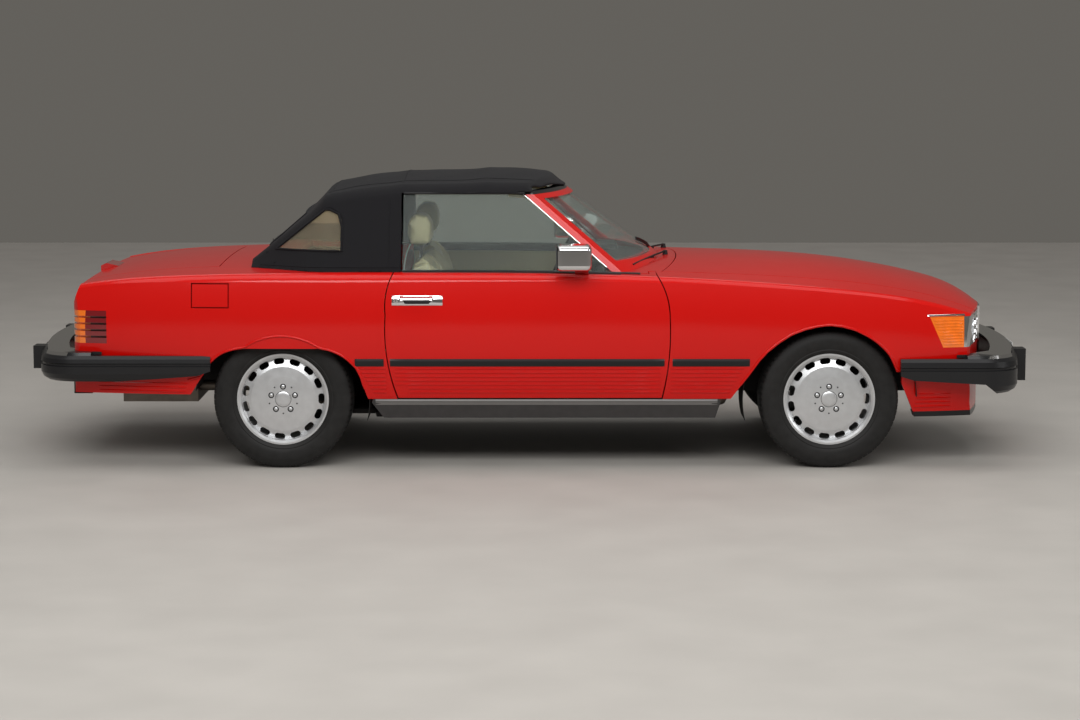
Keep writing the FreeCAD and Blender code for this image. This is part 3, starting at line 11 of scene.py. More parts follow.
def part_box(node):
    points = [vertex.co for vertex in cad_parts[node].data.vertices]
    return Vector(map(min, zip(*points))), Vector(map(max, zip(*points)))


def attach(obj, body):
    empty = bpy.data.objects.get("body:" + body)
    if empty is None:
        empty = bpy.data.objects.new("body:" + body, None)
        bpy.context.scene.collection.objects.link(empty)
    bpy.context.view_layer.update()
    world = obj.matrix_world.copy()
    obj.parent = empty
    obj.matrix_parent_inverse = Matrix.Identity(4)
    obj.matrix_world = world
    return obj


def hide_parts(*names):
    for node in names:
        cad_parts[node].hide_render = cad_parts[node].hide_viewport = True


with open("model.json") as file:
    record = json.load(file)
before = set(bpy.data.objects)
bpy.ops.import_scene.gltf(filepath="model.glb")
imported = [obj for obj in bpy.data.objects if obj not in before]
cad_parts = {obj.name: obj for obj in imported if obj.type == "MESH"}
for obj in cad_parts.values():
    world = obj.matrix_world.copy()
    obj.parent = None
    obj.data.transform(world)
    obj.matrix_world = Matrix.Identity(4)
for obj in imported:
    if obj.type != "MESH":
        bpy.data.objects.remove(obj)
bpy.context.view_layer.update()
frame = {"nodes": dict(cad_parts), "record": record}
nodes = frame["nodes"]

# Sizes that repeat the solids'
FRONT_X, REAR_X = 1.348, -1.107
TYRE_R = 0.313
TRACK_FRONT, TRACK_REAR = 1.461, 1.465
BOLT_COUNT, BOLT_RING_R = 5, 0.056
RUB_Z0, RUB_Z1, RUB_PROUD = 0.469, 0.503, 0.009
RIB_Z0, RIB_PITCH, RIB_COUNT = 0.343, 0.0185, 7
RIB_H, RIB_PROUD, RIB_EDGE = 0.009, 0.0035, 0.3
HUB = Vector((0.14, 0.375, 0.8))
COLUMN_TILT = math.radians(24)

# Where rays start that look for a surface, and their ways
OUTSIDE_Y, ABOVE_Z, BEHIND_X = 1.2, 1.5, -2.4
DOWN, LEFTWARDS, FORWARDS = (0, 0, -1), (0, 1, 0), (1, 0, 0)


# Finishes

NOISE_DETAIL = 4.0
GRAIN_STRENGTH, WEAVE_STRENGTH = 0.6, 0.5
WAVES_PER_SCALE = 3.2


def add_relief(tree, height, depth, strength):
    """Give a material's shader a relief of a depth."""
    relief = tree.nodes.new("ShaderNodeBump")
    relief.inputs["Strength"].default_value = strength
    relief.inputs["Distance"].default_value = depth
    tree.links.new(height, relief.inputs["Height"])
    tree.links.new(relief.outputs["Normal"], tree.nodes["Principled BSDF"].inputs["Normal"])


def finish(name, colour, metallic=0.0, rough=0.4, coat=0.0, grain=0.0, scale=60.0, bump=0.0,
           spread=0.0, **sockets):
    """A shader with a little noise in its roughness, colour or surface."""
    material = bpy.data.materials.new(name)
    material.use_nodes = True
    tree = material.node_tree
    shader = tree.nodes["Principled BSDF"]
    shader.inputs["Base Color"].default_value = (*colour, 1.0)
    shader.inputs["Metallic"].default_value = metallic
    shader.inputs["Roughness"].default_value = rough
    shader.inputs["Coat Weight"].default_value = coat
    for socket, value in sockets.items():
        shader.inputs[socket.replace("_", " ")].default_value = value
    place = tree.nodes.new("ShaderNodeTexCoord")
    noise = tree.nodes.new("ShaderNodeTexNoise")
    noise.inputs["Scale"].default_value = scale
    noise.inputs["Detail"].default_value = NOISE_DETAIL
    tree.links.new(place.outputs["Object"], noise.inputs["Vector"])
    if grain:
        patches = tree.nodes.new("ShaderNodeMapRange")
        patches.inputs["To Min"].default_value = max(0.0, rough - grain)
        patches.inputs["To Max"].default_value = min(1.0, rough + grain)
        tree.links.new(noise.outputs["Fac"], patches.inputs["Value"])
        tree.links.new(patches.outputs["Result"], shader.inputs["Roughness"])
    if spread:
        ramp = tree.nodes.new("ShaderNodeValToRGB")
        for stop, along, share in zip(ramp.color_ramp.elements, (0.3, 0.7), (1 - spread, 1 + spread)):
            stop.position = along
            stop.color = (*[min(1, part * share) for part in colour], 1)
        tree.links.new(noise.outputs["Fac"], ramp.inputs["Fac"])
        tree.links.new(ramp.outputs["Color"], shader.inputs["Base Color"])
    if bump:
        add_relief(tree, noise.outputs["Fac"], bump, GRAIN_STRENGTH)
    return material


def woven(name, colour, pitch, depth, rough):
    """Cloth with a fine weave in relief."""
    material = finish(name, colour, rough=rough, Sheen_Weight=0.03, Specular_IOR_Level=0.12)
    tree = material.node_tree
    weave = tree.nodes.new("ShaderNodeMath")
    weave.operation = "MULTIPLY"
    for index, axis in enumerate("XY"):
        wave = tree.nodes.new("ShaderNodeTexWave")
        wave.bands_direction = axis
        wave.inputs["Scale"].default_value = 1.0 / (pitch * WAVES_PER_SCALE)
        tree.links.new(tree.nodes["Texture Coordinate"].outputs["Object"], wave.inputs["Vector"])
        tree.links.new(wave.outputs["Fac"], weave.inputs[index])
    add_relief(tree, weave.outputs["Value"], depth, WEAVE_STRENGTH)
    return material


PAINT_RED = (0.54, 0.0025, 0.0008)
FINISHES = {name: finish(name, **values) for name, values in {
    "red_paint": dict(colour=PAINT_RED, rough=0.35, coat=0.6, grain=0.03, scale=9,
                      Coat_Roughness=0.12, Specular_IOR_Level=0.08),
    "dark_sill": dict(colour=(0.035, 0.033, 0.033), rough=0.5, grain=0.08, scale=25, spread=0.15),
    "chrome_trim": dict(colour=(0.78, 0.78, 0.79), metallic=1.0, rough=0.09, grain=0.03, scale=14),
    "lamp_glass": dict(colour=(0.72, 0.74, 0.76), metallic=0.35, rough=0.12, coat=1.0, grain=0.03),
    "clear_glass": dict(colour=(0.86, 0.93, 0.90), rough=0.02, grain=0.01,
                        Transmission_Weight=0.96, IOR=1.1),
    "amber_lens": dict(colour=(0.85, 0.17, 0.01), rough=0.12, coat=1.0, spread=0.12, scale=30),
    "red_lens": dict(colour=(0.42, 0.012, 0.01), rough=0.12, coat=1.0, spread=0.12, scale=30),
    "bumper_rubber": dict(colour=(0.011, 0.011, 0.012), rough=0.30, grain=0.05, scale=160,
                          bump=0.00006, Specular_IOR_Level=0.35),
    "tyre_rubber": dict(colour=(0.014, 0.0135, 0.013), rough=0.55, grain=0.08, scale=30, spread=0.2,
                        Specular_IOR_Level=0.22),
    "wheel_alloy": dict(colour=(0.62, 0.63, 0.64), metallic=0.75, rough=0.34, grain=0.05, scale=35,
                        spread=0.04),
    "cream_leather": dict(colour=(0.50, 0.42, 0.25), rough=0.48, grain=0.08, scale=180, bump=0.0004,
                          spread=0.06),
    "dark_plastic": dict(colour=(0.014, 0.014, 0.015), rough=0.5, grain=0.06, scale=320,
                         bump=0.00008, Specular_IOR_Level=0.25),
    "carpet": dict(colour=(0.20, 0.155, 0.09), rough=0.95, scale=900, bump=0.002, spread=0.3),
    "underbody": dict(colour=(0.012, 0.0115, 0.011), rough=0.75, grain=0.1, scale=18, spread=0.3,
                      Specular_IOR_Level=0.2),
    "cast_metal": dict(colour=(0.28, 0.28, 0.28), metallic=0.8, rough=0.5, grain=0.1, spread=0.15,
                       bump=0.0004),
    "chassis_steel": dict(colour=(0.05, 0.048, 0.045), metallic=0.6, rough=0.55, grain=0.1,
                          spread=0.25),
    "exhaust_steel": dict(colour=(0.22, 0.19, 0.16), metallic=0.8, rough=0.5, grain=0.12,
                          spread=0.25, scale=14),
}.items()}
FINISHES["top_cloth"] = woven("top_cloth", (0.0095, 0.0092, 0.0105), 0.0016, 0.0004, 0.85)
# Near black: the own colour of the valve and of the dash's faces, and painted shade in the wheels' bolt
# recesses, holes and hub cap gaps and in the scuttle vent slots
BLACK_AND_SHADE = finish("black_and_painted_shade", (0.006, 0.006, 0.006), rough=0.8, spread=0.1)
SILVER_GREY = finish("sill_grey", (0.16, 0.155, 0.15), rough=0.45, grain=0.06, scale=30)
CLEAR_PLASTIC = finish("aged_plastic", (0.74, 0.66, 0.50), rough=0.10, grain=0.04,
                       Transmission_Weight=0.9, IOR=1.1)
WHITE_PLATE = finish("blank_plate", (0.62, 0.62, 0.60), rough=0.45, spread=0.05)
WOOD = finish("dash_wood", (0.09, 0.032, 0.012), rough=0.25, coat=0.8, scale=26, spread=0.4)
SLOT_OF = {part["node"]: part["material_slot"] for part in frame["record"]["subparts"]}
CAD_SMOOTH, TRIM_SMOOTH, SOFT_SMOOTH = 28, 35, 50


def smooth_below(item, degrees):
    """Shade an object smooth across every edge that turns by less than an angle."""
    for polygon in item.data.polygons:
        polygon.use_smooth = True
    bpy.context.view_layer.objects.active = item
    item.select_set(True)
    bpy.ops.object.shade_smooth_by_angle(angle=math.radians(degrees))
    item.select_set(False)


for node, shape in nodes.items():
    shape.data.materials.clear()
    shape.data.materials.append(FINISHES[SLOT_OF[node]])
    smooth_below(shape, CAD_SMOOTH)


# Making meshes

def linked(name, data):
    """A new object of the scene."""
    item = bpy.data.objects.new(name, data)
    bpy.context.scene.collection.objects.link(item)
    return item


def face_outwards(data):
    """Turn every face of a mesh outwards."""
    form = bmesh.new()
    form.from_mesh(data)
    bmesh.ops.recalc_face_normals(form, faces=form.faces)
    form.to_mesh(data)
    form.free()


def mesh(name, points, faces, body, material, smooth):
    """A named mesh that rides on a body."""
    data = bpy.data.meshes.new(name)
    data.from_pydata([tuple(point) for point in points], [], faces)
    data.update()
    item = linked(name, data)
    face_outwards(data)
    data.materials.append(FINISHES[material] if isinstance(material, str) else material)
    smooth_below(item, smooth)
    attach(item, body)
    return item


def around(count):
    """Angles that share a full turn evenly."""
    return [2 * math.pi * step / count for step in range(count)]


class Shape:
    """Points and faces of one mesh, gathered from many simple forms."""

    def __init__(self):
        """Start empty."""
        self.points, self.faces = [], []

    def add(self, points, faces):
        """Take in points, and faces that count them from zero."""
        base = len(self.points)
        self.points += [Vector(point) for point in points]
        self.faces += [[base + index for index in face] for face in faces]

    def loft(self, rings, closed=True, caps=True):
        """Skin over rings that have the same count of points."""
        count = len(rings[0])
        faces = []
        for row in range(len(rings) - 1):
            for index in range(count if closed else count - 1):
                after = (index + 1) % count
                faces.append([row * count + index, row * count + after, (row + 1) * count + after,
                              (row + 1) * count + index])
        if caps:
            faces.append(list(range(count))[::-1])
            faces.append([(len(rings) - 1) * count + index for index in range(count)])
        self.add([point for ring in rings for point in ring], faces)

    def block(self, x0, x1, y0, y1, z0, z1, chamfer=0.0):
        """A block, its edges bevelled if asked."""
        if not chamfer:
            self.loft([[(x0, y0, z), (x1, y0, z), (x1, y1, z), (x0, y1, z)] for z in (z0, z1)])
            return
        c = chamfer
        wide = [(x0 + c, y0), (x1 - c, y0), (x1, y0 + c), (x1, y1 - c),
                (x1 - c, y1), (x0 + c, y1), (x0, y1 - c), (x0, y0 + c)]
        small = [(x0 + c, y0 + c), (x1 - c, y0 + c), (x1 - c, y0 + c), (x1 - c, y1 - c),
                 (x1 - c, y1 - c), (x0 + c, y1 - c), (x0 + c, y1 - c), (x0 + c, y0 + c)]
        levels = ((small, z0), (wide, z0 + c), (wide, z1 - c), (small, z1))
        self.loft([[(x, y, z) for x, y in ring] for ring, z in levels])

    def rod(self, line, radius, sides=10, caps=True):
        """A round bar along a line of points; radius may be one number for each point."""
        line = [Vector(point) for point in line]
        radii = radius if isinstance(radius, (list, tuple)) else [radius] * len(line)
        rings = []
        side = None
        for index, point in enumerate(line):
            along = (line[min(index + 1, len(line) - 1)] - line[max(index - 1, 0)]).normalized()
            if side is None:
                side = along.orthogonal().normalized()
            side = (side - along * side.dot(along)).normalized()
            other = along.cross(side)
            rings.append([point + (side * math.cos(turn) + other * math.sin(turn)) * radii[index]
                          for turn in around(sides)])
        self.loft(rings, caps=caps)

    def lathe(self, profile, centre, axis, sides=32, closed=False):
        """A form turned about an axis from pairs of radius and place along it."""
        axis = Vector(axis).normalized()
        side = axis.orthogonal().normalized()
        other = axis.cross(side)
        rings = []
        for turn in around(sides):
            out = side * math.cos(turn) + other * math.sin(turn)
            rings.append([Vector(centre) + out * radius + axis * along for radius, along in profile])
        count = len(profile)
        faces = []
        for step in range(sides):
            after = (step + 1) % sides
            for index in range(count if closed else count - 1):
                ahead = (index + 1) % count
                faces.append([step * count + index, step * count + ahead, after * count + ahead,
                              after * count + index])
        self.add([point for ring in rings for point in ring], faces)

    def other(self):
        """The points and faces of the other side alone."""
        twin = Shape()
        twin.add([(p.x, -p.y, p.z) for p in self.points], self.faces)
        return twin

    def mirrored(self):
        """The same points and faces together with those of the other side."""
        pair = Shape()
        for half in (self, self.other()):
            pair.add(half.points, half.faces)
        return pair

    def place(self, name, body, material, slot=None, smooth=TRIM_SMOOTH):
        """Make the mesh and set it on its body."""
        return mesh(name, self.points, self.faces, body, material, smooth)


def surface(*names):
    """A finder of the first surface along a ray, of nodes named or of objects."""
    points, faces = [], []
    for name in names:
        data = nodes[name].data if isinstance(name, str) else name.data
        base = len(points)
        points += [vertex.co.copy() for vertex in data.vertices]
        faces += [[base + index for index in polygon.vertices] for polygon in data.polygons]
    tree = BVHTree.FromPolygons(points, faces)

    def find(start, along):
        """The first place that the ray meets, or None."""
        return tree.ray_cast(Vector(start), Vector(along))[0]
    return find


def on_side(finder, x, z):
    """Where the right side of a body surface lies at a place in side view."""
    return finder((x, -OUTSIDE_Y, z), LEFTWARDS)


def on_top(finder, x, y):
    """Where the top of a body surface lies at a place in plan."""
    return finder((x, y, ABOVE_Z), DOWN)


def on_rear(finder, y, z):
    """Where the rear of a body surface lies at a place in the view from behind."""
    return finder((BEHIND_X, y, z), FORWARDS)


def strip(shape, finder, x0, x1, steps, z0, z1, proud, round_edge=0.25, sink=0.002):
    """A raised strip that follows the car's right side, with bevelled edges and closed ends."""
    rings = []
    for step in range(steps + 1):
        x = x0 + (x1 - x0) * step / steps
        low, high = on_side(finder, x, z0), on_side(finder, x, z1)
        if low is None or high is None:
            continue
        rise = proud if 0 < step < steps else proud * 0.4
        edge = (z1 - z0) * round_edge
        rings.append([
            (x, low.y + sink, z0), (x, low.y - rise * 0.3, z0), (x, low.y - rise, z0 + edge),
            (x, high.y - rise, z1 - edge), (x, high.y - rise * 0.3, z1), (x, high.y + sink, z1),
        ])
    if len(rings) > 1:
        shape.loft(rings)


def rib(shape, finder, x0, x1, steps, z):
    """A fine rib along the lower part of the right side."""
    strip(shape, finder, x0, x1, steps, z, z + RIB_H, RIB_PROUD, RIB_EDGE)


def on_doors(shape, name, material, smooth=TRIM_SMOOTH):
    """One piece for the right door and its twin for the left one."""
    shape.place(name + "_right", "door_right", material, smooth=smooth)
    shape.other().place(name + "_left", "door_left", material, smooth=smooth)


wing_front = surface("front_wings")
wing_rear = surface("rear_wings")
door_side = surface("door_right")

# Rub strips and ribs along the flanks; the ribs' ends follow the wheel arches
ARCH_SLANT = 0.55
PANELS = [
    # name, finder, rub x0, x1, rib x0, x1, slant of the rear and of the front ends
    ("door", door_side, -0.622, 0.604, -0.600, 0.588, 0.0, 0.0),
    ("rear", wing_rear, -0.779, -0.650, -0.700, -0.640, ARCH_SLANT, 0.0),
    ("front", wing_front, 0.640, 0.985, 0.632, 0.900, 0.0, ARCH_SLANT),
]
for name, finder, rub0, rub1, rib0, rib1, slant0, slant1 in PANELS:
    rub, ribs = Shape(), Shape()
    strip(rub, finder, rub0, rub1, 24, RUB_Z0, RUB_Z1, RUB_PROUD)
    for row in range(RIB_COUNT):
        rise = row * RIB_PITCH
        rib(ribs, finder, rib0 - rise * slant0, rib1 + rise * slant1, 20, RIB_Z0 + rise)
    if name == "door":
        on_doors(rub, "rub_strip_door", "bumper_rubber")
        on_doors(ribs, "ribs_door", "red_paint")
    else:
        rub.mirrored().place("rub_strips_" + name, "body", "bumper_rubber")
        ribs.mirrored().place("ribs_" + name, "body", "red_paint")

# Tyres with tread, in place of the plain ones
SIDEWALL = [
    # radius, place across
    (0.1905, -0.0815), (0.2065, -0.0815), (0.2065, -0.090), (0.214, -0.0955), (0.222, -0.0985),
    (0.226, -0.0975), (0.230, -0.0995), (0.245, -0.1018), (0.262, -0.1022), (0.274, -0.1015),
    (0.277, -0.1005), (0.292, -0.0975), (0.3015, -0.0925),
]
SHOULDER, CUT_SHOULDER = [(0.308, -0.084), (0.3122, -0.072)], [(0.3045, -0.084), (0.3075, -0.072)]
GROOVES = (-0.052, -0.018, 0.018, 0.052)
TREAD_R, GROOVE_R = 0.3128, 0.3062
GROOVE_HALF_W, GROOVE_FOOT_W = 0.0062, 0.0045
LUG_COUNT = 72
LUG_STEPS = ((0.0, CUT_SHOULDER), (0.16, CUT_SHOULDER), (0.20, SHOULDER), (0.96, SHOULDER))


def tyre_profile(shoulder):
    """Section of the tyre from bead to bead over its tread grooves."""
    left = SIDEWALL + shoulder
    top = []
    for place in GROOVES:
        top += [(TREAD_R, place - GROOVE_HALF_W), (GROOVE_R, place - GROOVE_FOOT_W),
                (GROOVE_R, place + GROOVE_FOOT_W), (TREAD_R, place + GROOVE_HALF_W)]
    return left + top + [(radius, -place) for radius, place in reversed(left)]


def on_wheel(x, y, out, radius, turn, outward):
    """A place on a wheel at a radius and an angle, outward from its middle plane."""
    return Vector((x + radius * math.cos(turn), y + out * outward, TYRE_R + radius * math.sin(turn)))


def tyre(x, y):
    """One tyre as rings of sections, its shoulders cut by lateral gaps."""
    form = Shape()
    rings = []
    for lug in range(LUG_COUNT):
        for share, shoulder in LUG_STEPS:
            turn = 2 * math.pi * (lug + share) / LUG_COUNT
            rings.append([on_wheel(x, y, 1, radius, turn, across)
                          for radius, across in tyre_profile(shoulder)])
    rings.append(rings[0])
    form.loft(rings, caps=False)
    return form


# Wheel bolts in rings of painted shade, small dark discs of painted shade for the holes between them, a
# ring of painted shade in the hub cap's gap, the hub cap and the valve
BOLT = [(0.0001, 0.0008), (0.0055, 0.0006), (0.0082, -0.001), (0.0086, -0.003), (0.0086, -0.024)]
BOLT_RING = [(0.0086, 0.0), (0.0128, 0.0), (0.0135, -0.0008), (0.0128, -0.0016)]
HOLE = [(0.0001, 0.0008), (0.0034, 0.0008), (0.0036, -0.002)]
HUB_CAP = [(0.0001, 0.0035), (0.020, 0.003), (0.031, 0.0018), (0.0345, 0.0), (0.035, -0.003)]
CAP_GAP = [(0.0352, 0.0006), (0.0368, 0.0006), (0.037, -0.002)]
RING_OUT, BOLT_OUT, HOLE_OUT, CAP_OUT = 0.0841, 0.0845, 0.0826, 0.084
HOLE_RING_R = 0.065
VALVE_X, VALVE_OUT, VALVE_Z = -0.152, 0.073, -0.098
WHEELS = [
    # body, x, y, sign of outward
    ("wheel_front_right", FRONT_X, -TRACK_FRONT / 2, -1),
    ("wheel_front_left", FRONT_X, TRACK_FRONT / 2, 1),
    ("wheel_rear_right", REAR_X, -TRACK_REAR / 2, -1),
    ("wheel_rear_left", REAR_X, TRACK_REAR / 2, 1),
]
for body, x, y, out in WHEELS:
    cover = tyre(x, y).place("tread_" + body, body, "tyre_rubber", smooth=32)
    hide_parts(body.replace("wheel", "tyre"))
    bolts, dark, cap = Shape(), Shape(), Shape()
    axle = (0, out, 0)
    for turn in around(BOLT_COUNT):
        turn += math.pi / 2
        # Rings of painted shade round the bolts, and dark discs of painted shade for the holes
        dark.lathe(BOLT_RING, on_wheel(x, y, out, BOLT_RING_R, turn, RING_OUT), axle, 20)
        bolts.lathe(BOLT, on_wheel(x, y, out, BOLT_RING_R, turn, BOLT_OUT), axle, 12)
        turn += math.pi / BOLT_COUNT
        dark.lathe(HOLE, on_wheel(x, y, out, HOLE_RING_R, turn, HOLE_OUT), axle, 12)
    cap.lathe(HUB_CAP, (x, y + out * CAP_OUT, TYRE_R), axle, 40)
    dark.lathe(CAP_GAP, (x, y + out * CAP_OUT, TYRE_R), axle, 40)
    valve = Vector((x + VALVE_X, y + out * VALVE_OUT, TYRE_R + VALVE_Z))
    dark.rod([valve, valve + Vector((0.004, out * 0.016, 0.002))], 0.0035, 8)
    bolts.place("bolts_" + body, body, "wheel_alloy")
    dark.place("wheel_shade_and_valve_" + body, body, BLACK_AND_SHADE, "tyre_rubber")
    cap.place("hub_cap_" + body, body, "wheel_alloy")

# Door handles: a bright plate, a dark strip of painted shade in the grip recess under the pull bar, and a
# lock with a dark slot of painted shade
LOCK_X = -0.594
handle, recess_shade = Shape(), Shape()
for x0, x1, z0, z1, proud, target in (
    (-0.612, -0.386, 0.744, 0.787, 0.006, handle),
    (-0.566, -0.430, 0.748, 0.783, 0.009, recess_shade),
):
    strip(target, door_side, x0, x1, 8, z0, z1, proud, 0.3)
strip(handle, door_side, -0.578, -0.428, 8, 0.765, 0.784, 0.026, 0.35, -0.012)
for x in (-0.568, -0.438):
    strip(handle, door_side, x - 0.010, x + 0.010, 3, 0.760, 0.786, 0.024, 0.3)
lock = on_side(door_side, LOCK_X, 0.766)
handle.lathe([(0.0001, 0.011), (0.008, 0.011), (0.0115, 0.008), (0.0125, 0.0)], lock, (0, -1, 0), 20)
# A dark slot of painted shade in the lock's face
recess_shade.block(LOCK_X - 0.0012, LOCK_X + 0.0012, lock.y - 0.0117, lock.y - 0.010, 0.761, 0.771)
on_doors(handle, "door_handle", "chrome_trim")
on_doors(recess_shade, "handle_recess_shade", "dark_plastic")

# Along each door's top: the black belt strip, the glass seal and a cap over the inner edge
BELT = [(-0.820, -0.003), (-0.819, 0.006), (-0.814, 0.008), (-0.8085, 0.006), (-0.808, -0.003)]
SEAL = [(-0.8082, -0.004), (-0.8080, 0.007), (-0.8052, 0.008), (-0.8050, -0.004)]
DOOR_CAP = [(-0.7982, -0.002), (-0.7980, 0.003), (-0.790, 0.006), (-0.768, 0.006),
            (-0.757, -0.001), (-0.755, -0.030), (-0.7752, -0.034)]
for name, profile, middle_y, x0, pitch, count, material, smooth in (
    ("belt_strip", BELT, -0.815, -0.566, 0.0325, 31, "bumper_rubber", TRIM_SMOOTH),
    ("belt_seal", SEAL, -0.815, -0.566, 0.0325, 31, "dark_plastic", TRIM_SMOOTH),
    ("door_cap", DOOR_CAP, -0.790, -0.590, 0.0375, 30, "dark_plastic", SOFT_SMOOTH),
):
    rings = []
    for step in range(count):
        x = x0 + step * pitch
        edge = on_top(door_side, x, middle_y)
        if edge:
            rings.append([(x, across, edge.z + up) for across, up in profile])
    bar = Shape()
    bar.loft(rings)
    on_doors(bar, name, material, smooth)

# Mirror glass and its rim, in the rear face of the chrome housing
housing_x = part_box("mirror_right")[0].x
for name, x0, x1, y0, y1, z0, z1, material in (
    ("mirror_face", -0.0006, 0.002, -0.995, -0.862, 0.915, 1.008, "chrome_trim"),
    ("mirror_edge", 0.001, 0.004, -0.9985, -0.8585, 0.9115, 1.0115, "dark_plastic"),
):
    pane = Shape()
    pane.block(housing_x + x0, housing_x + x1, y0, y1, z0, z1)
    on_doors(pane, name, material)

# Wipers on the scuttle, the aerial stub on the left rear wing
cowl_top = surface("cowl")
glass_top = surface("windscreen_glass")
WIPER_STEPS = 8
ARM_RISE, ARM_R = 0.016, 0.0045
wipers = Shape()
for pivot, tip in (((0.640, -0.10), (0.47, -0.62)), ((0.655, 0.42), (0.50, -0.12))):
    base = on_top(cowl_top, *pivot)
    wipers.lathe([(0.0001, 0.022), (0.010, 0.020), (0.013, 0.0), (0.013, -0.004)], base, (0, 0, 1), 16)
    line = [base + Vector((0, 0, 0.018))]
    for step in range(1, WIPER_STEPS + 1):
        x, y = (start + (end - start) * step / WIPER_STEPS for start, end in zip(pivot, tip))
        hit = on_top(glass_top, x, y) or on_top(cowl_top, x, y)
        line.append(hit + Vector((0, 0, ARM_RISE)))
    wipers.rod(line, ARM_R, 8)
    wipers.rod([point - Vector((0, 0, 0.008)) for point in line[3:]], ARM_R, 6)
wipers.place("wipers", "body", "dark_plastic")

aerial = Shape()
STUB = [(0.0001, 0.030), (0.004, 0.030), (0.005, 0.012), (0.012, 0.006), (0.015, 0.0), (0.015, -0.003)]
aerial.lathe(STUB, on_top(wing_rear, -1.30, 0.76), (0, 0, 1), 20)
aerial.place("aerial_stub", "body", "chrome_trim")

# Scuttle vent slots as fine dark blocks of painted shade, in a row that follows the foot of the glass
VENT_Y0, VENT_PITCH, VENT_COUNT = -0.43, 0.0344, 26
VENT_HALF_L, VENT_HALF_W = 0.016, 0.011
vents = Shape()
for index in range(VENT_COUNT):
    y = VENT_Y0 + index * VENT_PITCH
    x = 0.592 - 0.10 * (y / 0.6) ** 2
    hit = on_top(cowl_top, x, y)
    if hit:
        vents.block(x - VENT_HALF_L, x + VENT_HALF_L, y - VENT_HALF_W, y + VENT_HALF_W,
                    hit.z - 0.002, hit.z + 0.0012)
vents.place("scuttle_vent_shade", "body", BLACK_AND_SHADE, "dark_plastic")


# Soft top: the solid's outer skin as one sheet of cloth, with its bows showing through

BOWS, BOW_RISE, BOW_SPREAD = (-0.90, -0.575, -0.20, 0.085), 0.0035, 0.035
CLOTH_MIDDLE = Vector((-0.45, 0, 0.95))
CLOTH_EDGE, CLOTH_MOST_POINTS = 0.022, 40000
CLOTH_T = 0.0035


def bow_height(x):
    """How far the cloth stands up over the top's bows."""
    return sum(BOW_RISE * math.exp(-((x - bow) / BOW_SPREAD) ** 2) for bow in BOWS)


form = bmesh.new()
form.from_mesh(nodes["soft_top"].data)
bmesh.ops.remove_doubles(form, verts=form.verts, dist=0.0002)
inside = []
for face in form.faces:
    centre = face.calc_center_median()
    if centre.x > 0.03 and abs(face.normal.x) > 0.75:
        continue
    outward = centre - CLOTH_MIDDLE
    if centre.x > -0.93:
        outward = Vector((0, centre.y, centre.z - CLOTH_MIDDLE.z))
    if face.normal.dot(outward.normalized()) < 0.25:
        inside.append(face)
bmesh.ops.delete(form, geom=inside, context="FACES")
for _ in range(6):
    long_edges = [edge for edge in form.edges if edge.calc_length() > CLOTH_EDGE]
    if not long_edges or len(form.verts) > CLOTH_MOST_POINTS:
        break
    bmesh.ops.subdivide_edges(form, edges=long_edges, cuts=1)
    bmesh.ops.triangulate(form, faces=[face for face in form.faces if len(face.verts) > 3])
bmesh.ops.recalc_face_normals(form, faces=form.faces)
if sum(face.normal.z * face.calc_area() for face in form.faces) < 0:
    bmesh.ops.reverse_faces(form, faces=form.faces)
for vertex in form.verts:
    if vertex.is_boundary:
        continue
    x, y, z = vertex.co
    lift = bow_height(x) * min(1.0, max(0.0, (z - 1.10) / 0.1))
    sag = 0.0018 * math.sin(x * 21 + abs(y) * 5) * math.sin(abs(y) * 9 + 1.2)
    vertex.co += vertex.normal * (lift + sag - 0.001)
top_data = bpy.data.meshes.new("top_cloth")
form.to_mesh(top_data)
cloth_area = sum(face.calc_area() for face in form.faces)
form.free()
top_cloth = linked("top_cloth", top_data)
top_data.materials.append(FINISHES["top_cloth"])
for polygon in top_data.polygons:
    polygon.use_smooth = True
thick = top_cloth.modifiers.new("thickness", "SOLIDIFY")
thick.thickness, thick.offset = CLOTH_T, -1
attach(top_cloth, "body")
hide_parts("soft_top")

# Its seams and the sewn bands round the clear panes
cloth_skin = surface(top_cloth)
panes_skin = surface(top_cloth, "soft_top_windows")
SEAM_R, HEM_R, BAND_R = 0.0022, 0.0025, 0.0055
QUARTER = [
    (-1.150, 0.975), (-0.926, 1.152), (-0.902, 1.153), (-0.862, 1.135), (-0.845, 1.083), (-0.843, 0.975),
]
REAR_PANE = [(-0.430, 0.978), (-0.410, 1.120), (0.410, 1.120), (0.430, 0.978)]


def seam_on(shape, points, along, radius, finder=cloth_skin, sides=6, closed=False):
    """A raised seam that lies on the skin where rays from a line of points meet it."""
    line = [hit for hit in (finder(point, along) for point in points) if hit]
    if closed and len(line) > 2:
        line.append(line[0])
    if len(line) > 1:
        shape.rod(line, radius, sides)


def outline_points(corners, step=0.03):
    """Points along a closed outline, a short step apart."""
    points = []
    for index, corner in enumerate(corners):
        start, end = Vector(corner), Vector(corners[(index + 1) % len(corners)])
        count = max(1, int((end - start).length / step))
        points += [start + (end - start) * number / count for number in range(count)]
    return points


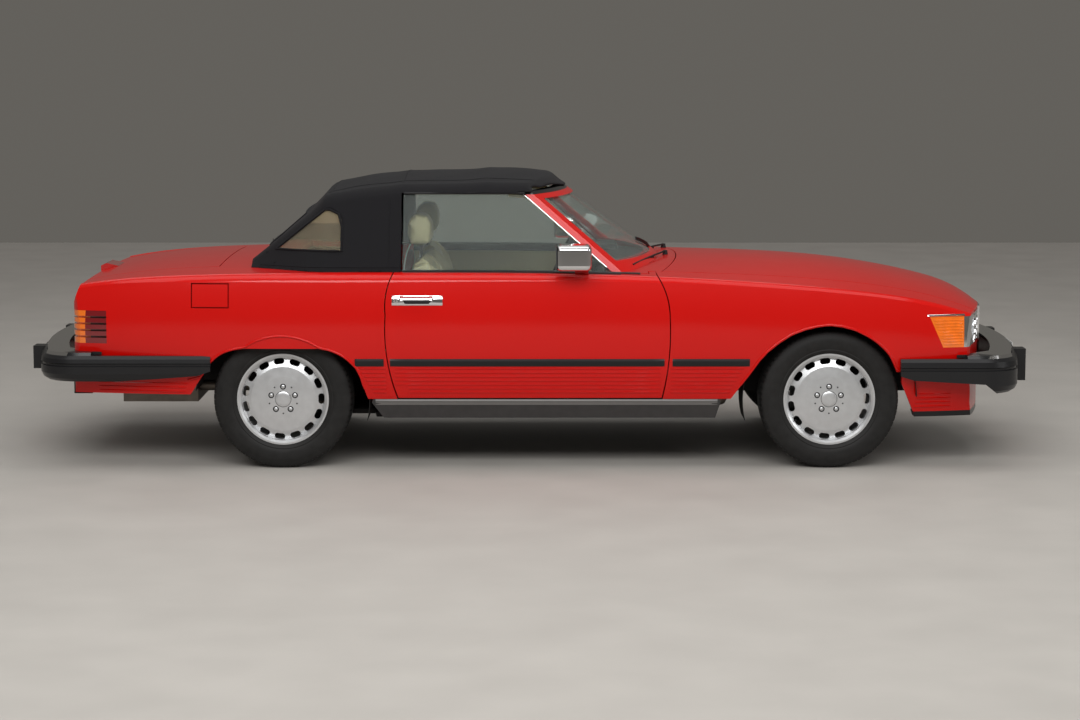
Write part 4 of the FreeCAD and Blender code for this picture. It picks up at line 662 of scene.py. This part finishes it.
seams, bands = Shape(), Shape()
for side in (-1, 1):
    far, inwards = side * OUTSIDE_Y, (0, -side, 0)
    seam_on(seams, [(x / 100, side * 0.46, ABOVE_Z) for x in range(-92, 14, 3)], DOWN, SEAM_R)
    seam_on(seams, [(-0.63, far, z / 100) for z in range(90, 122, 2)], inwards, SEAM_R)
    seam_on(seams, [(-1.22 + step * 0.02, far, 0.905) for step in range(33)], inwards, HEM_R)
    quarter = [(point.x, far, point.y) for point in outline_points(QUARTER)]
    seam_on(bands, quarter, inwards, BAND_R, panes_skin, 8, closed=True)
for bow in (-0.905, -0.575):
    seam_on(seams, [(bow, y / 50, ABOVE_Z) for y in range(-26, 27)], DOWN, SEAM_R)
rear_pane = [(-1.6, point.x, point.y) for point in outline_points(REAR_PANE)]
seam_on(bands, rear_pane, FORWARDS, BAND_R, panes_skin, 8, closed=True)
top_seams = seams.place("top_seams", "body", "top_cloth", smooth=SOFT_SMOOTH)
top_bands = bands.place("top_bands", "body", "top_cloth", smooth=SOFT_SMOOTH)
nodes["soft_top_windows"].data.materials[0] = CLEAR_PLASTIC


# Pads: a closed form between a middle outline and a side outline, swelled as cloth under pressure

VOXEL = 0.008
PRESSURE, CLOTH_QUALITY, SWELL_FRAMES = 4.0, 5, 20


def pad_form(rows, middle, side, centre_y):
    """A pad of rings across the car.

    Each row has a place across, its share of the side outline and how far it is drawn in.
    """
    form = Shape()
    rings = []
    for across, share, drawn in rows:
        ring = []
        for (x0, z0), (x1, z1) in zip(middle, side):
            x, z = x0 + (x1 - x0) * share, z0 + (z1 - z0) * share
            ring.append(Vector((x, centre_y + across, z)))
        heart = sum(ring, Vector()) / len(ring)
        rings.append([point + (heart - point) * drawn for point in ring])
    form.loft(rings)
    return form


def swell(item, cap):
    """Let a closed form swell as a cloth under pressure, no point moving more than the cap."""
    bpy.context.view_layer.objects.active = item
    remesh = item.modifiers.new("voxels", "REMESH")
    remesh.mode, remesh.voxel_size = "VOXEL", VOXEL
    settle(item)
    before = [vertex.co.copy() for vertex in item.data.vertices]
    cloth = item.modifiers.new("swell", "CLOTH")
    cloth.settings.use_pressure = True
    cloth.settings.uniform_pressure_force = PRESSURE
    cloth.settings.effector_weights.gravity = 0.0
    cloth.settings.quality = CLOTH_QUALITY
    for step in range(1, SWELL_FRAMES + 1):
        bpy.context.scene.frame_set(step)
    settle(item)
    bpy.context.scene.frame_set(1)
    for vertex, start in zip(item.data.vertices, before):
        move = vertex.co - start
        if move.length > cap:
            vertex.co = start + move * (cap / move.length)
    finer = item.modifiers.new("finer", "SUBSURF")
    finer.levels = 1
    settle(item)


def settle(item):
    """Bake an object's modifiers into its mesh."""
    view = bpy.context.evaluated_depsgraph_get()
    data = bpy.data.meshes.new_from_object(item.evaluated_get(view))
    item.modifiers.clear()
    item.data = data
    for polygon in data.polygons:
        polygon.use_smooth = True


def sew(item, groove):
    """Press seams and channels into a pad. The groove gives a depth at a point, seen along its normal."""
    depths = [groove(vertex.co, vertex.normal) for vertex in item.data.vertices]
    normals = [vertex.normal.copy() for vertex in item.data.vertices]
    for vertex, depth, normal in zip(item.data.vertices, depths, normals):
        vertex.co -= normal * depth


def channel(distance, depth, width):
    """The depth of a sewn channel at a distance from its middle."""
    return depth * math.exp(-(distance / width) ** 2)


# Seats: cushion, back and head restraint as leather pads on a dark base, in place of the plain solids
SEAT_Y = 0.395
ROWS = [
    # place across, share of the side outline, draw-in
    (-0.232, 1.0, 0.16), (-0.224, 1.0, 0.05), (-0.195, 1.0, 0.02), (-0.172, 0.8, 0.02), (-0.150, 0.1, 0.02),
    (-0.075, 0.0, 0.02), (0.075, 0.0, 0.02), (0.150, 0.1, 0.02), (0.172, 0.8, 0.02), (0.195, 1.0, 0.02),
    (0.224, 1.0, 0.05), (0.232, 1.0, 0.16),
]
HEAD_ROWS = [
    (-0.118, 1.0, 0.2), (-0.110, 1.0, 0.06), (0.0, 1.0, 0.0), (0.110, 1.0, 0.06), (0.118, 1.0, 0.2),
]
CUSHION = [
    (0.148, 0.305), (0.165, 0.350), (0.150, 0.394), (0.090, 0.404), (-0.120, 0.388), (-0.320, 0.372),
    (-0.350, 0.305),
]
CUSHION_SIDE = [
    (0.148, 0.305), (0.168, 0.350), (0.152, 0.414), (0.085, 0.428), (-0.120, 0.424), (-0.320, 0.415),
    (-0.350, 0.305),
]
BACK = [
    (-0.305, 0.405), (-0.338, 0.420), (-0.400, 0.660), (-0.460, 0.908), (-0.492, 0.946), (-0.536, 0.915),
    (-0.470, 0.420), (-0.440, 0.400),
]
BACK_SIDE = [
    (-0.290, 0.425), (-0.312, 0.440), (-0.356, 0.640), (-0.406, 0.835), (-0.458, 0.930), (-0.532, 0.892),
    (-0.470, 0.420), (-0.440, 0.400),
]
HEAD = [
    (-0.456, 0.985), (-0.448, 1.078), (-0.470, 1.116), (-0.522, 1.124), (-0.556, 1.088), (-0.550, 0.980),
]
PANEL_HALF_W, PANEL_SEAM_Y = 0.150, 0.152
CHANNEL_PITCH, CHANNEL_DEPTH = 0.052, 0.0045
SEAM_DEPTH, SEAM_W = 0.006, 0.006


def panel_depth(point, place, first, last):
    """Depth of the seams beside the middle panel and of the channels across it."""
    across = abs(abs(point.y) - SEAT_Y)
    depth = channel(across - PANEL_SEAM_Y, SEAM_DEPTH, SEAM_W)
    if across < PANEL_HALF_W and first < place < last:
        depth += channel(place % CHANNEL_PITCH - CHANNEL_PITCH / 2, CHANNEL_DEPTH, SEAM_W)
    return depth


def cushion_seams(point, normal):
    """Depth of the seams on the cushion's top."""
    return panel_depth(point, point.x + 0.02, -0.28, 1.0) if normal.z >= 0.4 else 0.0


def back_seams(point, normal):
    """Depth of the seams on the back's front."""
    return panel_depth(point, point.z, 0.44, 0.86) if normal.x >= 0.4 else 0.0


def head_seams(point, normal):
    """Depth of the two seams round the head restraint."""
    return channel(abs(abs(point.y) - SEAT_Y) - 0.088, 0.003, 0.005)


PAD_CAP = 0.012
seat_pieces = []
for name, rows, middle, side, seams_of, fill in (
    ("seat_cushion", ROWS, CUSHION, CUSHION_SIDE, cushion_seams, 0.7),
    ("seat_back", ROWS, BACK, BACK_SIDE, back_seams, 0.7),
    ("head_pad", HEAD_ROWS, HEAD, HEAD, head_seams, 0.8),
):
    form = pad_form(rows, middle, side, -SEAT_Y)
    pad = form.place(name + "_right", "body", "cream_leather", smooth=SOFT_SMOOTH)
    swell(pad, PAD_CAP)
    sew(pad, seams_of)
    twin_data = pad.data.copy()
    twin_data.transform(Matrix.Scale(-1, 4, (0, 1, 0)))
    face_outwards(twin_data)
    twin = linked(name + "_left", twin_data)
    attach(twin, "body")
    seat_pieces += [pad, twin]
seat_base = Shape()
seat_base.block(-0.325, 0.085, -SEAT_Y - 0.178, -SEAT_Y + 0.178, 0.2375, 0.300, 0.006)
for post in (-0.06, 0.06):
    seat_base.rod([(-0.500, -SEAT_Y + post, 0.900), (-0.504, -SEAT_Y + post, 1.000)], 0.0065, 12)
for x0, x1, z0, z1 in ((-0.46, -0.30, 0.30, 0.40), (-0.36, 0.12, 0.286, 0.312)):
    for edge in (-0.205, 0.205):
        seat_base.block(x0, x1, -SEAT_Y + edge - 0.02, -SEAT_Y + edge + 0.02, z0, z1, 0.004)
seat_pieces.append(seat_base.mirrored().place("seat_bases", "body", "dark_plastic"))
for piece in seat_pieces:
    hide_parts("seats")

# Doors inside: a cream board with its armrest, a carpeted foot, a pull and a blank round cover
board, foot, pull = Shape(), Shape(), Shape()
board.block(-0.590, 0.545, -0.7750, -0.7690, 0.420, 0.858, 0.003)
board.block(-0.330, 0.230, -0.7750, -0.7020, 0.556, 0.616, 0.014)
board.block(0.140, 0.215, -0.7740, -0.7080, 0.610, 0.700, 0.014)
foot.block(-0.575, 0.540, -0.7755, -0.7680, 0.345, 0.420, 0.003)
foot.block(-0.180, 0.400, -0.7755, -0.7420, 0.350, 0.460, 0.006)
pull.block(-0.010, 0.085, -0.7690, -0.7560, 0.690, 0.712, 0.004)
pull.rod([(0.30, -0.769, 0.665), (0.30, -0.757, 0.665)], 0.030, 24)
on_doors(board, "door_board", "cream_leather")
on_doors(foot, "door_foot", "carpet")
on_doors(pull, "door_pull", "chrome_trim")

# Cabin floor carpet, quarter trims, visors and the inner mirror
carpet, trim, visor, glass = Shape(), Shape(), Shape(), Shape()
carpet.block(-0.620, 0.640, -0.684, -0.1425, 0.2375, 0.2440)
carpet.block(-0.620, 0.640, -0.1440, -0.1405, 0.2440, 0.4200)
carpet.block(0.6400, 0.6485, -0.684, -0.1425, 0.244, 0.600)
trim.block(-1.060, -0.660, -0.700, -0.690, 0.640, 0.865, 0.004)
visor.loft([[(x + dx, y, z) for x, z in ((0.085, 1.210), (-0.045, 1.216), (-0.047, 1.203), (0.083, 1.196))]
            for y, dx in ((-0.520, -0.05), (-0.505, -0.042), (-0.200, 0.0), (-0.185, 0.0))])
carpet.mirrored().place("cabin_carpet", "body", "carpet")
trim.mirrored().place("quarter_trims", "body", "cream_leather")
visor.mirrored().place("visors", "body", "cream_leather")
mirror = Shape()
mirror.block(0.050, 0.074, -0.120, 0.120, 1.135, 1.188, 0.008)
mirror.rod([(0.064, 0, 1.185), (0.105, 0, 1.207)], 0.007, 10)
mirror.place("inner_mirror", "body", "dark_plastic")
glass.block(0.0490, 0.0500, -0.112, 0.112, 1.142, 1.181)
glass.place("inner_mirror_glass", "body", "chrome_trim")

# Dashboard: hood with blank dials, vents, switch panel and wood strips; the horn pad on the wheel's hub
TOWARDS_SEATS = (-1, 0, 0)
DIAL_X, DIAL_Z, VENT_X, SIDE_VENT_R = 0.288, 0.866, 0.303, 0.030
GRILLE_X0, GRILLE_X1, GRILLE_PITCH = 0.2950, 0.2965, 0.009
dash = Shape()
dash.block(0.288, 0.430, 0.205, 0.545, 0.795, 0.928, 0.018)
dash.block(0.296, 0.340, -0.115, 0.115, 0.655, 0.870, 0.006)
dash.place("dash_hood", "body", "dark_plastic")
dials, faces = Shape(), Shape()
for y, radius in ((0.272, 0.036), (0.375, 0.050), (0.478, 0.036)):
    centre = (DIAL_X, y, DIAL_Z)
    dials.lathe([(radius, 0.0), (radius + 0.003, 0.004), (radius + 0.004, 0.0)], centre, TOWARDS_SEATS,
                36, True)
    faces.lathe([(0.0001, 0.0008), (radius, 0.0008), (radius, -0.002)], centre, TOWARDS_SEATS, 36)
for y in (-0.062, 0.062):
    for row in range(5):
        z = 0.822 + row * GRILLE_PITCH
        faces.block(GRILLE_X0, GRILLE_X1, y - 0.042, y + 0.042, z, z + 0.005)
faces.block(GRILLE_X0, GRILLE_X1, -0.095, 0.095, 0.730, 0.782)
for y in (-0.640, 0.640):
    centre, r = (VENT_X, y, 0.820), SIDE_VENT_R
    dials.lathe([(r, 0.0), (r + 0.003, 0.004), (r + 0.006, 0.0)], centre, TOWARDS_SEATS, 28, True)
    faces.lathe([(0.0001, 0.0010), (r, 0.0010), (r, -0.004)], centre, TOWARDS_SEATS, 28)
dials.place("dial_rings", "body", "chrome_trim")
faces.place("dial_faces", "body", BLACK_AND_SHADE, "dark_plastic")
wood = Shape()
wood.block(0.2985, 0.3120, -0.660, -0.120, 0.768, 0.808, 0.002)
wood.block(-0.180, 0.180, -0.070, 0.070, 0.5600, 0.5640, 0.001)
wood.place("wood_strips", "body", WOOD, "dark_plastic")
wheel_frame = Matrix.Rotation(COLUMN_TILT - math.pi / 2, 4, "Y")
HORN = [(-0.095, -0.120), (-0.060, -0.140), (0.055, -0.125), (0.085, -0.080)]
HORN += [(x, -y) for x, y in reversed(HORN)]
horn = Shape()
horn.loft([[HUB + wheel_frame @ Vector((x * size, y * size, up)) for x, y in HORN]
           for size, up in ((0.9, -0.030), (1.0, -0.020), (1.0, -0.006), (0.85, 0.006))])
horn.place("horn_pad", "steering_wheel", "dark_plastic", smooth=60)

# Lamps: clear lenses in bright bezels, zones of the tail lamps, ribs on the side lamps
LENS_YS, LENS_Z, LENS_R = (0.455, 0.625), 0.617, 0.0645
lamps = nodes["headlamps"].data
lamps.materials.append(FINISHES["chrome_trim"])
for polygon in lamps.polygons:
    y, z = abs(polygon.center.y), polygon.center.z
    nearest = min(math.hypot(y - lens_y, z - LENS_Z) for lens_y in LENS_YS)
    polygon.material_index = 0 if nearest < LENS_R else 1


def axis_node(tree):
    """A node that gives the three coordinates of a point on the object."""
    split = tree.nodes.new("ShaderNodeSeparateXYZ")
    tree.links.new(tree.nodes["Texture Coordinate"].outputs["Object"], split.inputs[0])
    return split


def maths(tree, operation, *values):
    """The result of a sum on sockets or numbers."""
    node = tree.nodes.new("ShaderNodeMath")
    node.operation = operation
    for socket, value in zip(node.inputs, values):
        if isinstance(value, float):
            socket.default_value = value
        else:
            tree.links.new(value, socket)
    return node.outputs[0]


def colour_by(tree, value, stops):
    """Colour a material's shader by a value from 0 to 1. Each stop has a place and a colour."""
    ramp = tree.nodes.new("ShaderNodeValToRGB")
    ramp.color_ramp.interpolation = "CONSTANT"
    for index, (place, colour) in enumerate(stops):
        stop = ramp.color_ramp.elements[index] if index < 2 else ramp.color_ramp.elements.new(1.0)
        stop.position = place
        stop.color = (*colour, 1)
    tree.links.new(value, ramp.inputs["Fac"])
    tree.links.new(ramp.outputs["Color"], tree.nodes["Principled BSDF"].inputs["Base Color"])


def zoned(name, stops, low, high):
    """A lens whose colour changes round the car's corner, by how far each point lies along the wrap."""
    material = finish(name, (0.4, 0.01, 0.01), rough=0.12, coat=1.0)
    tree = material.node_tree
    axes = axis_node(tree)
    wrap = maths(tree, "ADD", maths(tree, "ABSOLUTE", axes.outputs["Y"]), axes.outputs["X"])
    spread = tree.nodes.new("ShaderNodeMapRange")
    spread.inputs["From Min"].default_value, spread.inputs["From Max"].default_value = low, high
    tree.links.new(wrap, spread.inputs["Value"])
    colour_by(tree, spread.outputs["Result"],
              [((place - low) / (high - low), colour) for place, colour in stops])
    return material


def two_tone(name, lower, upper, height):
    """A paint that changes colour at a height."""
    material = finish(name, lower, rough=0.35, coat=0.5, Coat_Roughness=0.06, Specular_IOR_Level=0.1)
    tree = material.node_tree
    above = maths(tree, "GREATER_THAN", axis_node(tree).outputs["Z"], height)
    colour_by(tree, above, [(0.0, lower), (0.5, upper)])
    return material


HEADER_Z, HEADER_BLACK = 1.222, (0.010, 0.010, 0.011)
nodes["windscreen_frame"].data.materials[0] = two_tone("frame_paint", PAINT_RED, HEADER_BLACK, HEADER_Z)
RED_ZONE, AMBER_ZONE, CLEAR_ZONE = (0.17, 0.004, 0.007), (0.80, 0.16, 0.01), (0.60, 0.58, 0.56)
nodes["tail_lamps"].data.materials[0] = zoned("tail_zones", [
    (-1.60, CLEAR_ZONE), (-1.42, RED_ZONE), (-1.335, AMBER_ZONE), (-1.195, RED_ZONE)], -1.60, -1.0)
RUBBER_END_Y, RUBBER_END_X = 0.74, 2.06
blades = nodes["bumper_blades"].data
blades.materials.append(FINISHES["bumper_rubber"])
for polygon in blades.polygons:
    at_end = abs(polygon.center.y) > RUBBER_END_Y and abs(polygon.center.x) < RUBBER_END_X
    polygon.material_index = 1 if at_end else 0
lamp_side, lamp_ribs = surface("side_lamps"), Shape()
for row in range(9):
    z = 0.560 + row * 0.0135
    x0 = 1.800 + max(0.0, 0.686 - z) * 0.45
    strip(lamp_ribs, lamp_side, x0, 1.945, 8, z, z + 0.005, 0.0022, RIB_EDGE)
lamp_ribs.mirrored().place("side_lamp_ribs", "body", "amber_lens")
brow = Shape()
strip(brow, wing_front, 1.780, 1.955, 12, 0.688, 0.697, 0.004)
brow.mirrored().place("lamp_brows", "body", "chrome_trim")

# Linings of the wheel arches: a dark shell round each wheel, open towards the axle
LINING_R, LINING_T = 0.390, 0.002
LINING_Y0, LINING_Y1 = -0.840, -0.600
LINING = [
    (LINING_R, LINING_Y0), (LINING_R, LINING_Y1),
    (LINING_R + LINING_T, LINING_Y1), (LINING_R + LINING_T, LINING_Y0),
]
LINING_STEPS = 40
linings = Shape()
for centre_x, start, end in ((FRONT_X, 2, 194), (REAR_X, -14, 174)):
    turns = [math.radians(start + (end - start) * step / LINING_STEPS) for step in range(LINING_STEPS + 1)]
    linings.loft([[on_wheel(centre_x, 0, 1, radius, turn, across) for radius, across in LINING]
                  for turn in turns])
linings.mirrored().place("arch_linings", "body", "underbody", smooth=30)

# Padded top of the dashboard up to the foot of the glass, and the painted corners of the scuttle beside it
PAD_X0, PAD_X1, PAD_X2 = 0.339, 0.346, 0.350
pad, corners, pad_rings = Shape(), Shape(), []
for step in range(-17, 18):
    y = step * 0.04
    foot_x = 0.580 - 0.36 * y * y
    near, far = on_top(cowl_top, PAD_X2, y).z, on_top(cowl_top, foot_x, y).z
    pad_rings.append([
        (PAD_X0, y, near - 0.026), (PAD_X0, y, near), (PAD_X1, y, near + 0.005),
        (foot_x, y, far + 0.003), (foot_x, y, far - 0.002), (PAD_X2, y, near - 0.002),
    ])
pad.loft(pad_rings)
pad.place("dash_pad", "body", "dark_plastic", smooth=SOFT_SMOOTH)
CORNER = [(-0.7005, 0.8785), (-0.7715, 0.8725), (-0.7715, 0.862), (-0.7005, 0.862)]
corners.loft([[(x, y, z) for y, z in CORNER] for x in (0.540, 0.569)])
corners.mirrored().place("scuttle_corners", "body", "red_paint")

# Wheel-arch lips, the sill's grey strip, chrome on the pillars and the seal over the door glass
LIP_STEP, LIP_PITCH, LIP_COUNT = 4, 0.0025, 140
LIP_R, LIP_SEARCH_R = 0.0062, 0.29
lips = Shape()
for finder, centre_x, start, end in ((wing_front, FRONT_X, 6, 172), (wing_rear, REAR_X, 8, 172)):
    line = []
    for turn in range(start, end, LIP_STEP):
        ahead = Vector((math.cos(math.radians(turn)), 0, math.sin(math.radians(turn))))
        for step in range(LIP_COUNT):
            spot = Vector((centre_x, 0, TYRE_R)) + ahead * (LIP_SEARCH_R + step * LIP_PITCH)
            hit = on_side(finder, spot.x, spot.z)
            if hit and hit.y < -0.70:
                line.append(hit + Vector((0, 0.001, 0)) + ahead * 0.003)
                break
    lips.rod(line, LIP_R, 8)
lips.mirrored().place("arch_lips", "body", "red_paint", smooth=60)
grey = Shape()
strip(grey, surface("sills"), -0.690, 0.845, 30, 0.289, 0.315, 0.004)
grey.mirrored().place("sill_strips", "body", SILVER_GREY, "dark_sill")
PILLAR_FOOT, PILLAR_HEAD = Vector((0.373, -0.766, 0.880)), Vector((-0.043, -0.627, 1.236))
pillar, over_glass = Shape(), Shape()
pillar.rod([PILLAR_FOOT.lerp(PILLAR_HEAD, 0.06 + step / 8 * 0.90) for step in range(9)], 0.0055, 8)
pillar.mirrored().place("pillar_strips", "body", "chrome_trim", smooth=60)
over_glass.rod([(-0.566 + step * 0.0545, -0.651, 1.2285) for step in range(11)], 0.0045, 8)
over_glass.mirrored().place("top_seals", "body", "dark_plastic", smooth=60)

# Apron and valance ribs, blank plates and boot lock
apron_side, valance_side, low_ribs = surface("front_apron"), surface("tail_panel"), Shape()
for row in range(4):
    rib(low_ribs, apron_side, 1.735 + row * 0.004, 1.900, 10, 0.268 + row * 0.020)
for row in range(3):
    rib(low_ribs, valance_side, -1.940, -1.545 + row * 0.006, 16, RIB_Z0 + row * RIB_PITCH)
low_ribs.mirrored().place("low_ribs", "body", "red_paint")
PLATE_HALF_W = 0.153
lid_rear = surface("boot_lid")
front_plate, rear_plate, lock = Shape(), Shape(), Shape()
front_plate.block(2.2818, 2.2850, -PLATE_HALF_W, PLATE_HALF_W, 0.344, 0.494, 0.001)
low, high = (on_rear(lid_rear, PLATE_HALF_W, z) for z in (0.592, 0.742))
rear_plate.loft([[(place.x - lift, side * PLATE_HALF_W, place.z)
                  for place, side in ((low, -1), (low, 1), (high, 1), (high, -1))]
                 for lift in (0.012, 0.015)])
lock.lathe([(0.0001, 0.007), (0.010, 0.007), (0.016, 0.004), (0.017, -0.002)],
           on_rear(lid_rear, 0.0, 0.775), (-1, 0, 0), 24)
front_plate.place("front_plate", "body", WHITE_PLATE, "bumper_rubber")
rear_plate.place("rear_plate", "boot_lid", WHITE_PLATE, "bumper_rubber")
lock.place("boot_lock", "boot_lid", "chrome_trim")

# Stage: a plain pale floor and wall, soft lamps, and the camera of the photograph
floor_data = bpy.data.meshes.new("floor")
floor_data.from_pydata([(-30, -30, 0), (30, -30, 0), (30, 12, 0), (-30, 12, 0)], [], [[0, 1, 2, 3]])
floor_data.materials.append(
    finish("pale_floor", (0.40, 0.38, 0.35), rough=0.75, grain=0.1, scale=3, spread=0.04))
floor = linked("floor", floor_data)


def lamp(name, place, target, size, power):
    """A soft rectangular lamp."""
    light = bpy.data.lights.new(name, "AREA")
    light.shape = "RECTANGLE"
    light.size, light.size_y = size
    light.energy = power
    item = linked(name, light)
    item.location = place
    item.rotation_euler = (Vector(target) - Vector(place)).to_track_quat("-Z", "Y").to_euler()


lamp("key", (-0.5, -7.5, 5.2), (0, 0, 0.5), (9.0, 3.2), 520)
lamp("top", (0.0, -1.0, 5.5), (0, 0, 0), (8.0, 3.6), 130)
lamp("front_fill", (7.0, -3.0, 3.0), (1.5, 0, 0.6), (3.0, 3.0), 80)
lamp("far_side", (-1.0, 5.5, 6.5), (0, 0, 0.5), (8.0, 3.0), 70)

SOFT_LIGHT, WALL = (0.38, 0.37, 0.36, 1), (0.125, 0.118, 0.106, 1)
world = bpy.data.worlds.new("studio")
bpy.context.scene.world = world
world.use_nodes = True
sky = world.node_tree
soft_light = sky.nodes["Background"]
soft_light.inputs["Color"].default_value = SOFT_LIGHT
wall = sky.nodes.new("ShaderNodeBackground")
wall.inputs["Color"].default_value = WALL
ray = sky.nodes.new("ShaderNodeLightPath")
seen = maths(sky, "MAXIMUM", ray.outputs["Is Camera Ray"], ray.outputs["Is Glossy Ray"])
choice = sky.nodes.new("ShaderNodeMixShader")
for socket, value in zip(choice.inputs, (seen, soft_light.outputs[0], wall.outputs[0])):
    sky.links.new(value, socket)
sky.links.new(choice.outputs[0], sky.nodes["World Output"].inputs["Surface"])

CAMERA_PLACE, CAMERA_DIP, LENS_MM, SENSOR_MM = (0.048, -12.8, 1.97), 7.04, 89.67, 36
camera_data = bpy.data.cameras.new("camera")
camera_data.lens = LENS_MM
camera_data.sensor_width = SENSOR_MM
camera_data.clip_end = 200
camera = linked("camera", camera_data)
camera.location = CAMERA_PLACE
camera.rotation_euler = (math.radians(90 - CAMERA_DIP), 0, 0)
bpy.context.scene.camera = camera
bpy.context.scene.view_settings.view_transform = "Standard"
